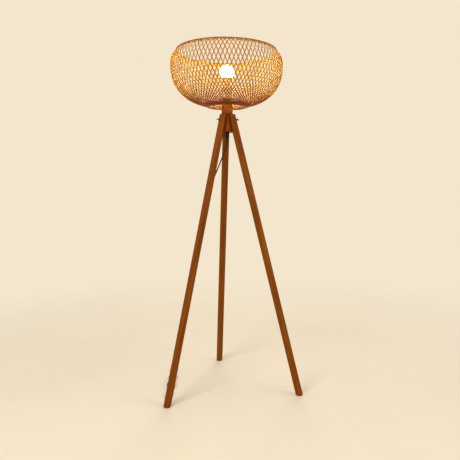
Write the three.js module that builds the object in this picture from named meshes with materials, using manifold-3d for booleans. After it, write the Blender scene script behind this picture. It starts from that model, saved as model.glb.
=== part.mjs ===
// Tripod floor lamp with a woven bamboo bowl as its shade.
// Three round legs are screwed to a turned wooden hub. A threaded tube through the hub carries the
// shade's spider, a cup and the lampholder, and the cord leaves through a grip at its lower end.
// Millimetres, +Z up. The floor is Z = 0 and the origin is the middle of the lamp's own box there.

import * as THREE from "three";
import { mergeVertices } from "three/addons/utils/BufferGeometryUtils.js";
import Module from "manifold-3d";

const wasm = await Module();
wasm.setup();

// Fits and cutting
const seat_gap = 0.3; // between faces that rest on each other
const bore_gap = 0.35; // round a pin, tube or cord in its hole
const overrun = 20; // how far a cutting shape runs past the piece it cuts
const weld = 0.001; // corners closer than this are one corner

// Tripod: each leg leans from the foot circle to the screw that holds it on the hub
const leg_count = 3;
const foot_circle_radius = 324;
const leg_diameter = 30;
const leg_top_height = 1199;
const foot_pad_diameter = 27;
const foot_pad_thickness = 3;

// Hub: a tapered core between the legs, under a round collar
const core_height = 75;
const core_top_diameter = 47;
const core_bottom_diameter = 72;
const collar_diameter = 47;
const collar_height = 29;
const hub_chamfer = 1.5;
const hub_wall = 4.8; // wood between the tube's bore and the threaded inserts
const seat_depth_top = 7.5; // how far inside the leg's axis its flat lies at its top
const seat_depth_bottom = 13.5; // and at the bottom of the hub

// Wing screws through the legs, with their washers and threaded inserts
const screw_drop = 24; // below the top of the legs
const screw_diameter = 6;
const screw_boss_diameter = 8.5;
const screw_boss_length = 7;
const wing_span = 22;
const wing_reach = 12; // of the wings' tips beyond the boss's base
const wing_start = 3.5; // of the wings' roots, which leaves them room to turn past the leaning leg
const wing_flare = 6;
const wing_thickness = 2.4;
const wing_root_width = 6;
const washer_diameter = 12;
const washer_thickness = 1.5;
const insert_diameter = 9.5;
const insert_length = 6.5;
const insert_sink = 0.5; // of its mouth below the seat

// Threaded tube, cord grip and clamp nut
const tube_diameter = 10;
const tube_bore = 7.6;
const grip_diameter = 17;
const grip_body_length = 20;
const grip_length = 33;
const grip_tip_diameter = 8.4;
const grip_socket_depth = 13;
const nut_width = 17; // across flats
const nut_thickness = 5;

// Woven bowl: a superellipse turned about the lamp's axis
const belly_radius = 237.5;
const bowl_depth = 177; // of the lower half, if it closed on the axis
const bowl_crown = 98; // of the upper half, if it closed on the axis
const bowl_power = 2.4;
const rim_inset = 26.5; // how far the bowl draws in again from its belly to its rim
const opening_radius = 80; // of the hole round the hub
const strip_count = 68; // in each of the two layers
const strip_steps = 6;
const strip_width = 4.2;
const strip_thickness = 1.4;
const layer_gap = 0.7;
const tangent_radius = 92; // of the circle that every strip would touch at the bottom
const steepest_slant_share = 0.97; // sine of the most that a strip may lean
const base_band_width = 32;
const rim_band_width = 7;
const rim_cane_diameter = 5;

// Spider: the flat metal frame under the bowl's opening
const spider_thickness = 1.5;
const spider_disc_diameter = 46;
const spider_arm_width = 8;
const spider_ring_overlap = 3; // inside the opening's edge
const spider_ring_seat = 6; // outside the opening's edge

// Cup and lampholder
const cup_diameter = 43;
const cup_height = 31;
const cup_wall = 1.6;
const cup_floor = 3;
const cap_diameter = 41;
const cap_bottom_diameter = 31;
const cap_shoulder = 7;
const cap_height = 20;
const cap_wall = 2;
const cap_floor = 3;
const holder_diameter = 40;
const holder_height = 37;
const holder_wall = 2.4;
const holder_ledge_bore = 22;
const holder_ledge_thickness = 2;
const block_height = 8; // insulating block with the contacts
const block_bore = 4;
const shell_diameter = 31.4; // screw shell that takes the bulb
const shell_wall = 1.2;
const shell_height = 24;
const tongue_diameter = 8;
const tongue_height = 2.2;

// Bulb
const bulb_length = 109;
const bulb_diameter = 60;
const bulb_cap_diameter = 26.4;
const bulb_cap_length = 23;
const bulb_contact_diameter = 10;
const bulb_contact_height = 3.4;
const bulb_stem_diameter = 15;
const bulb_neck_diameter = 29;
const bulb_skirt_diameter = 41; // where the skirt meets the globe
const globe_wall = 1.2;

// Cord, clips and tie
const cord_diameter = 5;
const clip_floor = 1.2;
const clip_wall = 1.6;
const clip_length = 8;
const clip_heights = [838, 640, 440, 240, 78];
const cord_side = THREE.MathUtils.degToRad(-125.7); // round the leg from its outer side
const hank_run = 100;
const hank_end_radius = 15;
const hank_waist = 6.6; // half the distance between the runs where the tie holds them
const hank_layer = 5.5;
const hank_rest = 4.3; // height of the lowest run's centre
const hank_turns = 2;
const tie_length = 8;
const tie_wall = 1.2;
const tie_rest = 0.2;

// Floor run of the cord: where it starts, which way it goes, and what lies along it
const floor_start = [-278, -142.4, 0];
const floor_heading = THREE.MathUtils.degToRad(83.41);
const switch_start = 62.3;
const switch_length = 58;
const switch_width = 24;
const switch_height = 14.5;
const switch_end_width = 12;
const switch_end_taper = 9;
const switch_corner = 2.4;
const switch_split = 6; // height of the joint between base and cover
const rocker_length = 19.6;
const rocker_width = 10;
const rocker_depth = 2.2; // below its pivot
const rocker_crown = 3.6; // above its pivot, at the ends
const rocker_dip = 1.2; // of its middle below its ends
const rocker_pivot_height = 11.2;
const rocker_pin_diameter = 2;
const rocker_pin_length = 1.4;
const rocker_tilt = THREE.MathUtils.degToRad(7);
const pocket_depth = 4.3; // below the pivot
const plug_start = 335;
const plug_tail_length = 16;
const plug_body_length = 30;
const plug_tail_diameter = 7;
const plug_width = 24;
const plug_height = 15;
const plug_corner = 4;
const blade_spacing = 12.7;
const blade_width = 6.3;
const blade_thickness = 1.5;
const blade_reach = 17;
const blade_root = 7;

// Facets
const rod_sides = 24;
const hub_sides = 32;
const small_sides = 16;
const globe_steps = 6;
const cord_sides = 8;
const hank_sides = 6;
const half_turn_steps = 6;
const run_steps = 7; // odd, so that the middle step lies in the tie
const cane_sides = 6;
const cane_steps = 48;
const corner_steps = 3;
const meridian_steps = 400;

// Heights and radii that follow from the sizes above
const leg_radius = leg_diameter / 2;
const cord_radius = cord_diameter / 2;
const tube_hole_radius = tube_diameter / 2 + bore_gap;
const cord_hole_radius = cord_radius + bore_gap;
const screw_hole_radius = screw_diameter / 2 + bore_gap;
const cord_line_offset = leg_radius + seat_gap + clip_floor + bore_gap + cord_radius;
const screw_height = leg_top_height - screw_drop;
const screw_circle_radius =
  tube_hole_radius + hub_wall + insert_length + insert_sink + seatDepth(screw_height);
const lean = Math.atan((foot_circle_radius - screw_circle_radius) / screw_height);
const hub_bottom = leg_top_height - core_height;
const grip_top = hub_bottom - seat_gap;
const cord_exit = grip_top - grip_length;
const collar_bottom = leg_top_height + seat_gap;
const collar_top = collar_bottom + collar_height;
const spider_bottom = collar_top + seat_gap;
const spider_top = spider_bottom + spider_thickness;
const opening_height = spider_top + seat_gap;
const opening_angle = -Math.acos((opening_radius / belly_radius) ** (bowl_power / 2));
const rim_angle = Math.acos(((belly_radius - rim_inset) / belly_radius) ** (bowl_power / 2));
const belly_height = opening_height + bowl_depth * Math.abs(Math.sin(opening_angle)) ** (2 / bowl_power);
const cup_bottom = spider_top + seat_gap;
const cup_top = cup_bottom + cup_height;
const cap_bottom = cup_top + seat_gap;
const holder_bottom = cap_bottom + cap_height + seat_gap;
const holder_top = holder_bottom + holder_height;
const block_bottom = holder_bottom + holder_ledge_thickness + seat_gap;
const block_top = block_bottom + block_height;
const bulb_bottom = block_top + seat_gap + tongue_height + seat_gap;
const tube_bottom = grip_top - grip_socket_depth + seat_gap;
const tube_top = cap_bottom + cap_floor + washer_thickness;

// Finishes
const finish = {
  legWood: new THREE.MeshStandardMaterial({ color: 0xc7955c, roughness: 0.55, metalness: 0 }),
  hubWood: new THREE.MeshStandardMaterial({ color: 0xb9844c, roughness: 0.5, metalness: 0 }),
  bamboo: new THREE.MeshStandardMaterial({ color: 0xd6a766, roughness: 0.6, metalness: 0 }),
  cane: new THREE.MeshStandardMaterial({ color: 0xb07c42, roughness: 0.65, metalness: 0 }),
  blackSteel: new THREE.MeshStandardMaterial({ color: 0x2a2724, roughness: 0.45, metalness: 0.8 }),
  bronzedSteel: new THREE.MeshStandardMaterial({ color: 0x7d5630, roughness: 0.5, metalness: 0.6 }),
  brightSteel: new THREE.MeshStandardMaterial({ color: 0xb4b4b2, roughness: 0.35, metalness: 1 }),
  brass: new THREE.MeshStandardMaterial({ color: 0xc09a4e, roughness: 0.35, metalness: 1 }),
  blackPlastic: new THREE.MeshStandardMaterial({ color: 0x191817, roughness: 0.45, metalness: 0 }),
  cordSheath: new THREE.MeshStandardMaterial({ color: 0x151413, roughness: 0.6, metalness: 0 }),
  ceramic: new THREE.MeshStandardMaterial({ color: 0xe8e4da, roughness: 0.3, metalness: 0 }),
  whitePlastic: new THREE.MeshStandardMaterial({ color: 0xf0eee8, roughness: 0.4, metalness: 0 }),
  opalGlobe: new THREE.MeshStandardMaterial({
    color: 0xfff0d0, roughness: 0.3, metalness: 0, emissive: 0xffd48a,
  }),
  felt: new THREE.MeshStandardMaterial({ color: 0x33291f, roughness: 0.95, metalness: 0 }),
};

const lamp = new THREE.Group();
const looseNames = new Set(); // pieces of the loose cord, which don't move the origin

function add(parent, name, geometry, material) {
  const mesh = new THREE.Mesh(geometry, material);
  mesh.name = name;
  parent.add(mesh);
  return mesh;
}

function addLoose(parent, name, geometry, material) {
  looseNames.add(name);
  return add(parent, name, geometry, material);
}

// Solids for cutting and joining

// Closed geometry to a solid: corners are welded, and triangles that the weld closes up are left out
function solid(geometry) {
  const bare = geometry.clone();
  bare.deleteAttribute("normal");
  bare.deleteAttribute("uv");
  const merged = mergeVertices(bare, weld);
  const corners = merged.index.array;
  const kept = [];
  for (let i = 0; i < corners.length; i += 3) {
    const [a, b, c] = corners.subarray(i, i + 3);
    if (a !== b && b !== c && c !== a) kept.push(a, b, c);
  }
  return new wasm.Manifold(
    new wasm.Mesh({
      numProp: 3,
      vertProperties: merged.attributes.position.array,
      triVerts: new Uint32Array(kept),
    }),
  );
}

function geometryOf(manifold) {
  const mesh = manifold.getMesh();
  const geometry = new THREE.BufferGeometry();
  geometry.setAttribute("position", new THREE.BufferAttribute(mesh.vertProperties, mesh.numProp));
  geometry.setIndex(new THREE.BufferAttribute(mesh.triVerts, 1));
  geometry.computeVertexNormals();
  return geometry;
}

// A closed or axis-to-axis profile of [radius, height] points, turned about Z. The profile runs
// upwards along the outside.
function turned(profile, sides) {
  const points = profile.map(([r, z]) => new THREE.Vector2(r, z));
  return new THREE.LatheGeometry(points, sides).rotateX(Math.PI / 2);
}

function rod(radius, bottom, top, sides) {
  return new THREE.CylinderGeometry(radius, radius, top - bottom, sides)
    .rotateX(Math.PI / 2)
    .translate(0, 0, (bottom + top) / 2);
}

// A rod along X, at the height of the screws
function screwRod(radius, from, to, sides) {
  return new THREE.CylinderGeometry(radius, radius, to - from, sides)
    .rotateZ(Math.PI / 2)
    .translate((from + to) / 2, 0, screw_height);
}

function ring(outer, inner, bottom, top, sides) {
  return turned([[inner, bottom], [outer, bottom], [outer, top], [inner, top], [inner, bottom]], sides);
}

function box(x0, x1, y0, y1, z0, z1) {
  return new THREE.BoxGeometry(x1 - x0, y1 - y0, z1 - z0)
    .translate((x0 + x1) / 2, (y0 + y1) / 2, (z0 + z1) / 2);
}

// An outline of [x, z] points, extruded to both sides of the XZ plane
function upright(outline, thickness) {
  const shape = new THREE.Shape(outline.map(([x, z]) => new THREE.Vector2(x, z)));
  return new THREE.ExtrudeGeometry(shape, { depth: thickness, bevelEnabled: false })
    .translate(0, 0, -thickness / 2)
    .rotateX(Math.PI / 2);
}

// A tube of constant section through its route's points, with a step on each point
function cordTube(points, radius, sides) {
  const section = new THREE.Shape();
  section.absarc(0, 0, radius, 0, 2 * Math.PI);
  const route = new THREE.CatmullRomCurve3(points.map((p) => new THREE.Vector3(...p)), false, "centripetal");
  route.getUtoTmapping = (share) => share;
  return new THREE.ExtrudeGeometry(section, {
    steps: points.length - 1,
    curveSegments: sides / 2, // an arc has two sides for each
    extrudePath: route,
    bevelEnabled: false,
  });
}

// Legs and hub

// How far inside the leg's axis its flat lies at a height: the flat is steeper than the leg
function seatDepth(height) {
  const share = (leg_top_height - height) / core_height;
  return seat_depth_top + share * (seat_depth_bottom - seat_depth_top);
}

// Distances from the lamp's axis at a height: of a leg's axis, its outer side, and its flat
function legAxisRadius(height) {
  return foot_circle_radius - height * Math.tan(lean);
}
function legOuterRadius(height) {
  return legAxisRadius(height) + leg_radius / Math.cos(lean);
}
function seatRadius(height, gap = 0) {
  return legAxisRadius(height) - (seatDepth(height) + gap) / Math.cos(lean);
}

// From a leg's own frame, upright on its foot, to where it leans in the XZ plane
const legPlace = new THREE.Matrix4()
  .makeTranslation(foot_circle_radius, 0, 0)
  .multiply(new THREE.Matrix4().makeRotationY(-lean));

const washer_radius = washer_diameter / 2;
const spot_dip = leg_radius - Math.sqrt(leg_radius ** 2 - washer_radius ** 2);
const spot_radius = legOuterRadius(screw_height + washer_radius) - spot_dip / Math.cos(lean);
const insert_outer = seatRadius(screw_height + insert_diameter / 2, seat_gap) - insert_sink;
const insert_inner = insert_outer - insert_length;

// A leaning dowel, level at both ends, with a flat for the hub, a screw hole and its spot face
function legGeometry() {
  const leg_bottom = foot_pad_thickness + seat_gap;
  const length = (leg_top_height + leg_diameter) / Math.cos(lean);
  const dowel = solid(rod(leg_radius, -leg_diameter, length, rod_sides).applyMatrix4(legPlace));
  const far = foot_circle_radius + leg_diameter + overrun;
  const level = solid(box(-overrun, far, -leg_diameter, leg_diameter, leg_bottom, leg_top_height));
  const top = leg_top_height + overrun;
  const end = hub_bottom - core_height; // below where the flat runs out of the dowel
  const flat = solid(upright([
    [seatRadius(top), top],
    [seatRadius(top) - leg_diameter, top],
    [seatRadius(end) - leg_diameter, end],
    [seatRadius(end), end],
  ], leg_diameter + overrun));
  const hole = solid(screwRod(screw_hole_radius, 0, far, small_sides));
  const spot = solid(screwRod(washer_radius + bore_gap, spot_radius, far, rod_sides));
  return geometryOf(dowel.intersect(level).subtract(flat).subtract(hole).subtract(spot));
}

// The turned hub, with three slanted seats for the legs, their insert holes and the tube's bore
function hubGeometry() {
  const core_top = core_top_diameter / 2;
  const core_bottom = core_bottom_diameter / 2;
  const collar = collar_diameter / 2;
  let hub = solid(turned([
    [0, hub_bottom],
    [core_bottom - hub_chamfer, hub_bottom],
    [core_bottom, hub_bottom + hub_chamfer],
    [core_top, leg_top_height],
    [collar, collar_bottom],
    [collar, collar_top - hub_chamfer],
    [collar - hub_chamfer, collar_top],
    [0, collar_top],
  ], hub_sides));
  const low = hub_bottom - overrun;
  const far = core_bottom + overrun;
  const seat = solid(upright([
    [seatRadius(low, seat_gap), low],
    [far, low],
    [far, collar_bottom],
    [seatRadius(collar_bottom, seat_gap), collar_bottom],
  ], core_bottom_diameter + overrun));
  const insert_hole = solid(
    screwRod(insert_diameter / 2 + bore_gap, insert_inner - seat_gap, core_bottom, small_sides),
  );
  for (let i = 0; i < leg_count; i++) {
    const turn = 90 + (i * 360) / leg_count;
    hub = hub.subtract(seat.rotate([0, 0, turn])).subtract(insert_hole.rotate([0, 0, turn]));
  }
  const bore = solid(rod(tube_hole_radius, low, collar_top + overrun, small_sides));
  return geometryOf(hub.subtract(bore));
}

function footPadGeometry() {
  const middle = legAxisRadius(foot_pad_thickness);
  return rod(foot_pad_diameter / 2, 0, foot_pad_thickness, rod_sides).translate(middle, 0, 0);
}

// Boss, shank and two flat wings that flare outwards, with the wings level
function wingScrewGeometry() {
  const base = spot_radius + seat_gap + washer_thickness + seat_gap;
  const boss = solid(screwRod(screw_boss_diameter / 2, base, base + screw_boss_length, small_sides));
  const shank_from = insert_inner + insert_sink;
  const shank = solid(screwRod(screw_diameter / 2, shank_from, base + screw_diameter / 2, small_sides));
  const half = wing_span / 2;
  const root = wing_root_width / 2;
  const tip = base + wing_reach;
  const shoulder = base + (wing_flare + wing_reach) / 2;
  const notch = base + screw_boss_length;
  const outline = new THREE.Shape();
  outline.moveTo(base + wing_start, -root);
  outline.quadraticCurveTo(base + wing_flare, -half, shoulder, -half);
  outline.quadraticCurveTo(tip, -half, tip, -half + root);
  outline.quadraticCurveTo(tip, -root, notch, -root / 2);
  outline.lineTo(notch, root / 2);
  outline.quadraticCurveTo(tip, root, tip, half - root);
  outline.quadraticCurveTo(tip, half, shoulder, half);
  outline.quadraticCurveTo(base + wing_flare, half, base + wing_start, root);
  outline.closePath();
  const wings = new THREE.ExtrudeGeometry(outline, {
    depth: wing_thickness,
    curveSegments: corner_steps + 1,
    bevelEnabled: false,
  }).translate(0, 0, screw_height - wing_thickness / 2);
  return geometryOf(boss.add(shank).add(solid(wings)));
}

// A ring about the screw's axis between two distances from the lamp's axis
function screwRing(outer, inner, from, to) {
  const body = solid(screwRod(outer, from, to, small_sides));
  return geometryOf(body.subtract(solid(screwRod(inner, from - overrun, to + overrun, small_sides))));
}

function addTripod() {
  add(lamp, "hub", hubGeometry(), finish.hubWood);
  const leg = legGeometry();
  const pad = footPadGeometry();
  const screw = wingScrewGeometry();
  const washer_from = spot_radius + seat_gap;
  const washer = screwRing(washer_radius, screw_hole_radius, washer_from, washer_from + washer_thickness);
  const insert = screwRing(insert_diameter / 2, screw_hole_radius, insert_inner, insert_outer);
  ["rear", "left", "right"].forEach((side, i) => {
    const place = new THREE.Group();
    place.rotation.z = Math.PI / 2 + (i * 2 * Math.PI) / leg_count;
    lamp.add(place);
    add(place, "leg_" + side, leg, finish.legWood);
    add(place, "foot_pad_" + side, pad, finish.felt);
    add(place, "wing_screw_" + side, screw, finish.blackSteel);
    add(place, "washer_" + side, washer, finish.blackSteel);
    add(place, "threaded_insert_" + side, insert, finish.brass);
    if (side === "left") addClips(place);
  });
}

// Saddle clips that hold the cord to the hidden side of a leg
function addClips(place) {
  const hole = cord_hole_radius / Math.cos(Math.PI / cord_sides); // flats clear of the cord
  const half = hole + clip_wall;
  const floor = leg_radius + seat_gap;
  const saddle = new THREE.Shape();
  saddle.moveTo(-half, floor);
  saddle.lineTo(half, floor);
  saddle.absarc(0, cord_line_offset, half, 0, Math.PI);
  saddle.closePath();
  const channel = new THREE.Path();
  channel.absarc(0, cord_line_offset, hole, 0, 2 * Math.PI);
  saddle.holes.push(channel);
  const clip = new THREE.ExtrudeGeometry(saddle, {
    depth: clip_length,
    curveSegments: cord_sides / 2,
    bevelEnabled: false,
  }).translate(0, 0, -clip_length / 2);
  clip_heights.forEach((height, i) => {
    const turned_clip = clip.clone()
      .rotateZ(cord_side - Math.PI / 2)
      .translate(0, 0, height / Math.cos(lean))
      .applyMatrix4(legPlace);
    add(place, "cord_clip_" + (i + 1), turned_clip, finish.blackPlastic);
  });
}

// Column on the hub: tube, grip, spider, cup and lampholder

// Flat disc, three arms in line with the legs and the ring that the bowl rests on
function spiderGeometry() {
  const ring_inner = opening_radius - spider_ring_overlap;
  const ring_outer = opening_radius + spider_ring_seat;
  const disc = solid(rod(spider_disc_diameter / 2, spider_bottom, spider_top, rod_sides));
  let spider = disc.add(solid(ring(ring_outer, ring_inner, spider_bottom, spider_top, 2 * rod_sides)));
  const half = spider_arm_width / 2;
  const arm = solid(box(0, (ring_inner + ring_outer) / 2, -half, half, spider_bottom, spider_top));
  for (let i = 0; i < leg_count; i++) spider = spider.add(arm.rotate([0, 0, 90 + (i * 360) / leg_count]));
  const bore = solid(rod(tube_hole_radius, spider_bottom - overrun, spider_top + overrun, small_sides));
  return geometryOf(spider.subtract(bore));
}

function addColumn() {
  const tube = ring(tube_diameter / 2, tube_bore / 2, tube_bottom, tube_top, small_sides);
  add(lamp, "threaded_tube", tube, finish.brightSteel);

  const grip = grip_diameter / 2;
  const tip = grip_tip_diameter / 2;
  const socket = grip_top - grip_socket_depth;
  add(lamp, "cord_grip", turned([
    [cord_hole_radius, cord_exit],
    [tip, cord_exit],
    [grip - hub_chamfer, grip_top - grip_body_length - hub_chamfer],
    [grip, grip_top - grip_body_length],
    [grip, grip_top],
    [tube_hole_radius, grip_top],
    [tube_hole_radius, socket],
    [cord_hole_radius, socket],
    [cord_hole_radius, cord_exit],
  ], small_sides), finish.blackPlastic);
  add(lamp, "lead_in_tube", rod(cord_radius, cord_exit + seat_gap, block_bottom - seat_gap, cord_sides),
    finish.cordSheath);

  add(lamp, "shade_spider", spiderGeometry(), finish.bronzedSteel);

  const cup = cup_diameter / 2;
  const cup_inside = cup - cup_wall;
  add(lamp, "holder_cup", turned([
    [tube_hole_radius, cup_bottom],
    [cup - hub_chamfer, cup_bottom],
    [cup, cup_bottom + hub_chamfer],
    [cup, cup_top],
    [cup_inside, cup_top],
    [cup_inside, cup_bottom + cup_floor],
    [tube_hole_radius, cup_bottom + cup_floor],
    [tube_hole_radius, cup_bottom],
  ], rod_sides), finish.bronzedSteel);

  const nut_from = cup_bottom + cup_floor + seat_gap;
  const nut = solid(rod(nut_width / Math.sqrt(3), nut_from, nut_from + nut_thickness, 6));
  const nut_bore = solid(rod(tube_hole_radius, cup_bottom, cup_top, small_sides));
  add(lamp, "clamp_nut", geometryOf(nut.subtract(nut_bore)), finish.brightSteel);

  const cap = cap_diameter / 2;
  const cap_low = cap_bottom_diameter / 2;
  const cap_top = cap_bottom + cap_height;
  add(lamp, "holder_cap", turned([
    [tube_hole_radius, cap_bottom],
    [cap_low, cap_bottom],
    [cap, cap_bottom + cap_shoulder],
    [cap, cap_top],
    [cap - cap_wall, cap_top],
    [cap - cap_wall, cap_bottom + cap_shoulder],
    [cap_low - cap_wall, cap_bottom + cap_floor],
    [tube_hole_radius, cap_bottom + cap_floor],
    [tube_hole_radius, cap_bottom],
  ], rod_sides), finish.whitePlastic);

  const holder = holder_diameter / 2;
  const holder_inside = holder - holder_wall;
  const ledge = holder_bottom + holder_ledge_thickness;
  add(lamp, "holder_body", turned([
    [holder_ledge_bore / 2, holder_bottom],
    [holder, holder_bottom],
    [holder, holder_top - hub_chamfer],
    [holder - hub_chamfer, holder_top],
    [holder_inside, holder_top],
    [holder_inside, ledge],
    [holder_ledge_bore / 2, ledge],
    [holder_ledge_bore / 2, holder_bottom],
  ], rod_sides), finish.whitePlastic);

  const block = ring(holder_inside - bore_gap, block_bore / 2, block_bottom, block_top, rod_sides);
  add(lamp, "contact_block", block, finish.ceramic);
  const on_block = block_top + seat_gap;
  const shell = shell_diameter / 2;
  add(lamp, "screw_shell", ring(shell, shell - shell_wall, on_block, on_block + shell_height, rod_sides),
    finish.brass);
  const tongue = rod(tongue_diameter / 2, on_block, on_block + tongue_height, small_sides);
  add(lamp, "centre_contact", tongue, finish.brass);
}

// Bulb: contact, screw cap, skirt and opal globe
function addBulb() {
  const contact_top = bulb_bottom + bulb_contact_height;
  add(lamp, "bulb_contact", turned([
    [0, bulb_bottom],
    [bulb_contact_diameter / 4, bulb_bottom],
    [bulb_contact_diameter / 2, contact_top],
    [0, contact_top],
  ], small_sides), finish.brass);

  const cap = bulb_cap_diameter / 2;
  const cap_bottom_z = contact_top + seat_gap;
  const cap_top = cap_bottom_z + bulb_cap_length;
  add(lamp, "bulb_cap", turned([
    [0, cap_bottom_z],
    [bulb_contact_diameter / 2, cap_bottom_z],
    [cap, cap_bottom_z + bulb_contact_height],
    [cap, cap_top],
    [0, cap_top],
  ], rod_sides), finish.brightSteel);

  // The skirt flares from the cap to where the globe has its diameter
  const globe = bulb_diameter / 2;
  const skirt = bulb_skirt_diameter / 2;
  const neck = bulb_neck_diameter / 2;
  const middle = bulb_bottom + bulb_length - globe;
  const globe_bottom = middle - Math.sqrt(globe ** 2 - skirt ** 2);
  const skirt_bottom = cap_top + seat_gap;
  const skirt_top = globe_bottom - seat_gap;
  const flare = new THREE.QuadraticBezierCurve(
    new THREE.Vector2(neck, skirt_bottom + bulb_contact_height),
    new THREE.Vector2(neck, (skirt_bottom + skirt_top) / 2),
    new THREE.Vector2(skirt, skirt_top),
  );
  add(lamp, "bulb_skirt", turned([
    [0, skirt_bottom],
    [bulb_stem_diameter / 2, skirt_bottom],
    ...flare.getPoints(corner_steps).map((p) => [p.x, p.y]),
    [0, skirt_top],
  ], rod_sides), finish.whitePlastic);

  // The globe is open below, where it stands on the skirt
  const wall = (radius) => {
    const arc = [];
    const lowest = Math.asin((globe_bottom - middle) / radius);
    for (let i = 0; i < globe_steps; i++) {
      const angle = lowest + ((Math.PI / 2 - lowest) * i) / globe_steps;
      arc.push([radius * Math.cos(angle), middle + radius * Math.sin(angle)]);
    }
    return [...arc, [0, middle + radius]];
  };
  const outer = wall(globe);
  const inner = wall(globe - globe_wall).reverse();
  add(lamp, "bulb_globe", turned([...outer, ...inner, outer[0]], rod_sides), finish.opalGlobe);
}

// Woven bowl

// Point of the bowl's meridian for a share from 0 at the opening's edge to 1 at the rim
function meridianPoint(share) {
  const angle = opening_angle + (rim_angle - opening_angle) * share;
  const reach = angle < 0 ? -bowl_depth : bowl_crown;
  return {
    r: belly_radius * Math.cos(angle) ** (2 / bowl_power),
    z: belly_height + reach * Math.abs(Math.sin(angle)) ** (2 / bowl_power),
  };
}

// Sine of a strip's lean from the meridian: like a string pulled tight over the bowl, it is the
// tangent circle's radius over the strip's own, so the strips lean most near the opening
function slantAt(radius) {
  return Math.min(tangent_radius / radius, steepest_slant_share);
}

// The meridian in short steps, with the distance run and the turn that a strip has made so far
function traceMeridian() {
  const trace = [{ ...meridianPoint(0), run: 0, turn: 0 }];
  for (let i = 1; i <= meridian_steps; i++) {
    const last = trace[i - 1];
    const next = meridianPoint(i / meridian_steps);
    const step = Math.hypot(next.r - last.r, next.z - last.z);
    const radius = (next.r + last.r) / 2;
    const slant = slantAt(radius);
    const turn = (step * slant) / Math.sqrt(1 - slant ** 2) / radius;
    trace.push({ ...next, run: last.run + step, turn: last.turn + turn });
  }
  return trace;
}
const meridian = traceMeridian();

// Share of the meridian at a distance along it
function shareAt(run) {
  return meridian.findIndex((point) => point.run >= run) / meridian_steps;
}

// Where a strip is at a share of the meridian and a depth inside the wall: radius, height and turn,
// the direction up the wall, and the sine and cosine of its slant
function wallAt(share, depth) {
  const upper = Math.max(1, Math.ceil(share * meridian_steps));
  const [a, b] = [meridian[upper - 1], meridian[upper]];
  const part_way = share * meridian_steps - (upper - 1);
  const upR = (b.r - a.r) / (b.run - a.run);
  const upZ = (b.z - a.z) / (b.run - a.run);
  const r = a.r + (b.r - a.r) * part_way;
  const slant = slantAt(r);
  return {
    r: r - upZ * depth,
    z: a.z + (b.z - a.z) * part_way + upR * depth,
    turn: a.turn + (b.turn - a.turn) * part_way,
    upR,
    upZ,
    slant,
    straight: Math.sqrt(1 - slant ** 2),
  };
}

// One layer of the weave as a single closed surface: slanted flat strips from a band round the
// opening to a band round the rim. hand is 1 or -1, for the way the strips turn, and depth is how
// far the layer lies inside the bowl's outer wall.
function weaveLayer(hand, depth) {
  const position = [];
  const index = [];
  const vertex = (r, z, turn) => {
    position.push(r * Math.cos(hand * turn), r * Math.sin(hand * turn), z);
    return position.length / 3 - 1;
  };
  const triangle = (a, b, c) => {
    if (a === b || b === c || c === a) return;
    if (hand > 0) index.push(a, b, c);
    else index.push(a, c, b);
  };
  const quad = (a, b, c, d) => {
    triangle(a, b, c);
    triangle(a, c, d);
  };
  const inner_depth = depth + strip_thickness;
  const strips = Array.from({ length: strip_count }, (_, i) => i);
  const stripTurn = (i, wall) => (i * 2 * Math.PI) / strip_count + wall.turn;

  // A ring round the bowl: one corner for each strip, or two where the strips are rooted
  const ringAt = (share, d, root, is_rooted) => {
    const wall = wallAt(share, d);
    const half = strip_width / 2 / root.straight / root.r;
    return strips.map((i) => {
      const turn = stripTurn(i, root);
      if (!is_rooted) {
        const corner = vertex(wall.r, wall.z, turn);
        return [corner, corner];
      }
      return [vertex(wall.r, wall.z, turn - half), vertex(wall.r, wall.z, turn + half)];
    });
  };
  const joinRings = (a, b, is_root_face) => {
    for (const i of strips) {
      const j = (i + 1) % strip_count;
      if (!is_root_face) quad(a[i][0], a[i][1], b[i][1], b[i][0]);
      quad(a[i][1], a[j][0], b[j][0], b[i][1]);
    }
  };
  // A band from its free edge to the edge that the strips grow out of, open at their roots
  const band = (free_share, root_share) => {
    const root = wallAt(root_share, depth);
    const edges = {
      free: [ringAt(free_share, depth, root, false), ringAt(free_share, inner_depth, root, false)],
      root: [ringAt(root_share, depth, root, true), ringAt(root_share, inner_depth, root, true)],
    };
    const [low, high] = free_share < root_share ? [edges.free, edges.root] : [edges.root, edges.free];
    joinRings(low[0], high[0], false);
    joinRings(high[0], high[1], high === edges.root);
    joinRings(high[1], low[1], false);
    joinRings(low[1], low[0], low === edges.root);
    return edges.root;
  };

  const from = shareAt(base_band_width);
  const to = shareAt(meridian[meridian_steps].run - rim_band_width);
  const base = band(0, from);
  const rim = band(1, to);
  const rootSection = ([outer, inner], i) => [outer[i][0], outer[i][1], inner[i][1], inner[i][0]];

  for (const i of strips) {
    const sections = [rootSection(base, i)];
    for (let step = 1; step < strip_steps; step++) {
      const share = from + ((to - from) * step) / strip_steps;
      const [outside, inside] = [wallAt(share, depth), wallAt(share, inner_depth)];
      const corner = (wall, side) => {
        const across = (side * strip_width) / 2;
        const down = across * outside.slant;
        const turn = stripTurn(i, outside) + (across * outside.straight) / wall.r;
        return vertex(wall.r - down * wall.upR, wall.z - down * wall.upZ, turn);
      };
      sections.push([corner(outside, -1), corner(outside, 1), corner(inside, 1), corner(inside, -1)]);
    }
    sections.push(rootSection(rim, i));
    for (let k = 1; k < sections.length; k++) {
      const [low, high] = [sections[k - 1], sections[k]];
      low.forEach((_, e) => {
        const next = (e + 1) % low.length;
        quad(low[e], low[next], high[next], high[e]);
      });
    }
  }

  const geometry = new THREE.BufferGeometry();
  geometry.setAttribute("position", new THREE.Float32BufferAttribute(position, 3));
  geometry.setIndex(index);
  geometry.computeVertexNormals();
  return geometry;
}

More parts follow.
